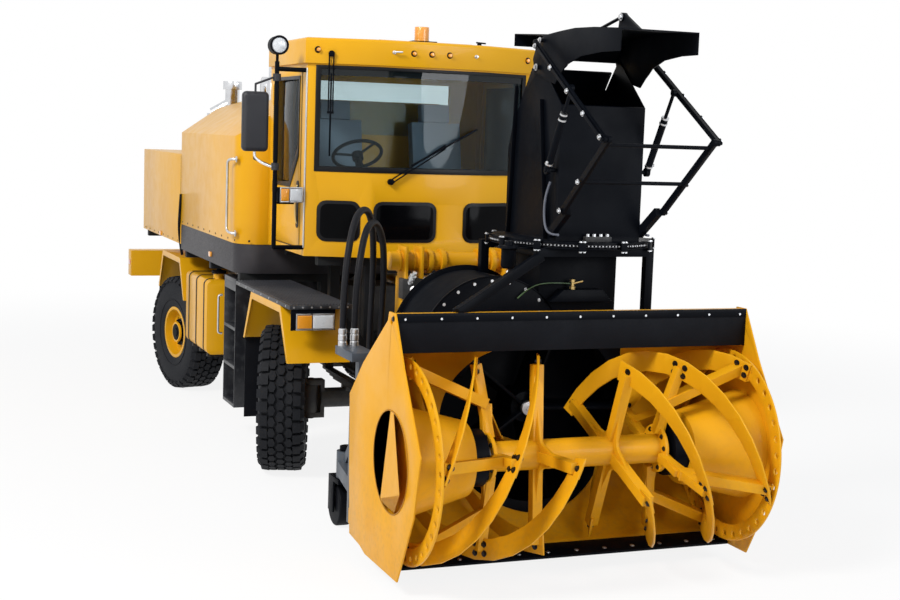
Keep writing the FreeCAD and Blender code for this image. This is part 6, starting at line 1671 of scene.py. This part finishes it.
# %% Hood fittings
HOOD_LOW, HOOD_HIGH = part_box("engine_hood")
BODY_X = HOOD_HIGH.x
REAR_LOW, REAR_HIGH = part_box("rear_body")
RAIL_TOP, RAIL_FOOT = 2.640, 1.965
SCREW, SCREW_LIFT = 0.008, 0.030
rails, screws, seams, straps = Workshop(), [], Workshop(), Workshop()
for side in (-1, 1):
    x = side * BODY_X
    out, y = x + side * 0.056, HOOD_LOW.y + 0.22
    rails.tube([(x, HOOD_LOW.y + 0.10, RAIL_TOP),
                (x + side * 0.050, HOOD_LOW.y + 0.11, RAIL_TOP + 0.005),
                (out, y, RAIL_TOP - 0.020), (out, y, RAIL_TOP - 0.080),
                (out, y, RAIL_FOOT + 0.085), (out, y, RAIL_FOOT + 0.020),
                (x + side * 0.050, HOOD_LOW.y + 0.11, RAIL_FOOT),
                (x, HOOD_LOW.y + 0.10, RAIL_FOOT)], 0.012)
    for z in (RAIL_TOP, RAIL_FOOT):
        rails.lathe((x, HOOD_LOW.y + 0.10, z), (side, 0, 0), [
            (0.0, 0.0), (0.0, 0.030), (0.006, 0.030), (0.010, 0.018), (0.010, 0.0)], 16)
    for step in range(10):
        screws.append(((x, HOOD_LOW.y + 0.13 + step * 0.27, HOOD_LOW.z + SCREW_LIFT),
                       (side, 0, 0), SCREW))
    for step in range(8):
        screws.append(((x, REAR_LOW.y + 0.14 + step * 0.29, REAR_LOW.z + SCREW_LIFT),
                       (side, 0, 0), SCREW))
    seams.block((min(x, x + side * 0.0015), REAR_LOW.y + 0.017, REAR_LOW.z + 0.02),
                (max(x, x + side * 0.0015), REAR_LOW.y + 0.023, REAR_HIGH.z - 0.02))
    straps.tube([(x + side * 0.006, HOOD_HIGH.y - 0.03, 2.190),
                 (x + side * 0.014, HOOD_HIGH.y - 0.02, 2.05),
                 (x + side * 0.012, HOOD_HIGH.y + 0.05, 1.75),
                 (x - side * 0.03, HOOD_HIGH.y + 0.05, 1.53)], 0.016, 10)
for step in range(9):
    screws.append(((-1.18 + step * 0.295, HOOD_LOW.y, HOOD_LOW.z + SCREW_LIFT), (0, -1, 0),
                   SCREW))
rails.piece("hood_grab_rails", "chassis", "bright_steel", ZINC)
bolts("hood_screws", "chassis", "steel", DARK_STEEL, screws, 0.35, 1.3)
seams.piece("panel_seams", "chassis", "black_rubber", GASKET)
straps.piece("hood_straps", "chassis", "black_rubber", RUBBER, 0.001)

pipe_rings = Workshop()
for z in (3.10, 3.22, 3.33):
    pipe_rings.lathe((-0.240, HOOD_HIGH.y + 0.190, z), (0, 0, 1), [
        (-0.012, 0.070), (-0.010, 0.0735), (0.010, 0.0735), (0.012, 0.070)], 28, True)
pipe_rings.piece("pipe_clamps", "chassis", "steel", ZINC)

# The louvre blades take the shaded yellow copy: painted shade on the blades.
louvres = []
for row in range(12):
    louvres.append(((0, REAR_HIGH.y + 0.001, 1.95 + row * 0.045), (0, 1, 0.5), (1, 0, 0),
                    (0.50, 0.010, 0.003)))
blocks("louvres", "chassis", "black_paint", YELLOW_PAINTED_SHADE, louvres)
print("hood detailed")

# %% Tank straps, deck slats and side lamps
TANK_LOW = Vector((0.760, 0.786, 0.650))
TANK_HIGH = Vector((1.275, 1.836, 1.400))
EDGE = 0.060


def tank_loop():
    """Points and outward directions round the tank's top, outer and bottom faces."""
    points, outs = [(TANK_LOW.x + 0.02, TANK_HIGH.z)], [(0, 1)]
    for centre, first in (((TANK_HIGH.x - EDGE, TANK_HIGH.z - EDGE), 90),
                          ((TANK_HIGH.x - EDGE, TANK_LOW.z + EDGE), 0)):
        for step in range(6):
            a = math.radians(first - 18 * step)
            points.append((centre[0] + EDGE * math.cos(a), centre[1] + EDGE * math.sin(a)))
            outs.append((math.cos(a), math.sin(a)))
    points.append((TANK_LOW.x + 0.02, TANK_LOW.z))
    outs.append((0, -1))
    return points, outs


bands = Workshop()
points, outs = tank_loop()
for side in (-1, 1):
    for y in (TANK_LOW.y + 0.150, TANK_LOW.y + 0.520, TANK_LOW.y + 0.890):
        bands.band([(side * x, y - 0.018, z) for x, z in points],
                   [(side * x, 0, z) for x, z in outs], (0, 0.036, 0), 0.005)
bands.piece("tank_straps", "chassis", "black_rubber", STRAP, 0.001)

DECK_LOW, DECK_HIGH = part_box("decks_and_steps")
slats = []
HALF_DECK = (HOOD_LOW.y + 0.050 - DECK_LOW.y) / 2
for side in (-1, 1):
    for step in range(19):
        slats.append(((side * (0.785 + step * 0.0265), DECK_LOW.y + HALF_DECK, DECK_HIGH.z + 0.003),
                      (0, 0, 1), (1, 0, 0), (0.0045, HALF_DECK - 0.012, 0.004)))
blocks("deck_slats", "chassis", "deck_black", SLAT, slats)
edges = []
for side in (-1, 1):
    for step in range(7):
        edges.append(((side * DECK_HIGH.x, DECK_LOW.y + 0.12 + step * 0.27, DECK_HIGH.z - 0.018),
                      (side, 0, 0), 0.007))
        edges.append(((side * (0.80 + 0.075 * step), DECK_LOW.y, DECK_HIGH.z - 0.018),
                      (0, -1, 0), 0.006))
bolts("deck_bolts", "chassis", "steel", ZINC, edges, 0.4, 1.4)

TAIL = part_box("chassis_frame")[1]
HANDLE_TOP, HANDLE_FOOT = 1.330, 0.960
handles, markers, reds = Workshop(), Workshop(), Workshop()
for side in (-1, 1):
    handles.tube([(side * 1.262, 0.150, HANDLE_TOP), (side * 1.300, 0.152, HANDLE_TOP),
                  (side * 1.302, 0.152, HANDLE_TOP - 0.040),
                  (side * 1.302, 0.152, HANDLE_FOOT + 0.040),
                  (side * 1.300, 0.152, HANDLE_FOOT), (side * 1.262, 0.150, HANDLE_FOOT)],
                 0.010, 12)
    x = side * BODY_X
    for y in (0.62, 3.30):
        markers.rounded_panel(lambda u, v, d: Vector((x + side * (d - 0.004), u, v)),
                              (y - 0.045, 1.655), (y + 0.045, 1.705), 0.018, (-0.002, 0.016))
    reds.rounded_panel(lambda u, v, d: Vector((side * (TAIL.x + d), u, v)), (TAIL.y - 0.16, 1.11),
                       (TAIL.y - 0.05, 1.17), 0.014, (-0.002, 0.006))
    for inner in (0.80, 0.98):
        reds.rounded_panel(lambda u, v, d: Vector((side * u, TAIL.y + d - 0.012, v)), (inner, 1.08),
                           (inner + 0.13, 1.20), 0.020, (-0.002, 0.012))
handles.piece("ladder_handles", "chassis", "bright_steel", ZINC)
markers.piece("side_markers", "chassis", "amber_lens", AMBER, 0.003)
reds.piece("tail_lenses", "chassis", "red_lens", RED_LENS, 0.002)

caps = Workshop()
for side in (-1, 1):
    at = (side * 1.125, TANK_LOW.y + 0.160, TANK_HIGH.z + 0.055)
    caps.lathe(at, (0, 0, 1), [(0.0, 0.0), (0.0, 0.070), (0.008, 0.072), (0.024, 0.072),
                               (0.030, 0.066), (0.032, 0.030), (0.044, 0.024), (0.044, 0.0)], 24)
caps.piece("tank_caps", "chassis", "black_paint", RUBBER)
print("tanks and decks detailed")

# %% Hitch: valve block, couplings and shaft rings
valves = Workshop()
HITCH_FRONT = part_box("hitch_frame")[0].y
for x, z, way in ((-0.46, 1.76, (0.2, -0.6, 0.8)), (-0.40, 1.70, (-0.5, -0.8, 0.2)),
                  (-0.34, 1.78, (0.5, -0.7, 0.4))):
    valves.lathe((x, HITCH_FRONT + 0.02, z), way, [
        (0.0, 0.0), (0.0, 0.026), (0.03, 0.026), (0.032, 0.020), (0.05, 0.020), (0.052, 0.028),
        (0.09, 0.028), (0.094, 0.018), (0.12, 0.018), (0.122, 0.0)], 18)
valves.piece("hitch_couplings", "chassis", "bright_steel", ZINC)
block = Workshop()
block.block((-0.52, HITCH_FRONT - 0.005, 1.64), (-0.28, HITCH_FRONT + 0.09, 1.80))
block.piece("hitch_valve_block", "chassis", "black_paint", CAST, 0.006)
RING_WIDTH = 0.012
shaft_rings = Workshop()
for x in (-0.52, -0.40, 0.40, 0.52):
    shaft_rings.lathe((x - RING_WIDTH / 2, -2.744, 1.930), (1, 0, 0), [
        (0.0, 0.074), (0.0, 0.086), (RING_WIDTH, 0.086), (RING_WIDTH, 0.074)], 32, True)
shaft_rings.piece("cross_shaft_rings", "chassis", "yellow_paint", YELLOW_HEAD, 0.002)
print("hitch detailed")
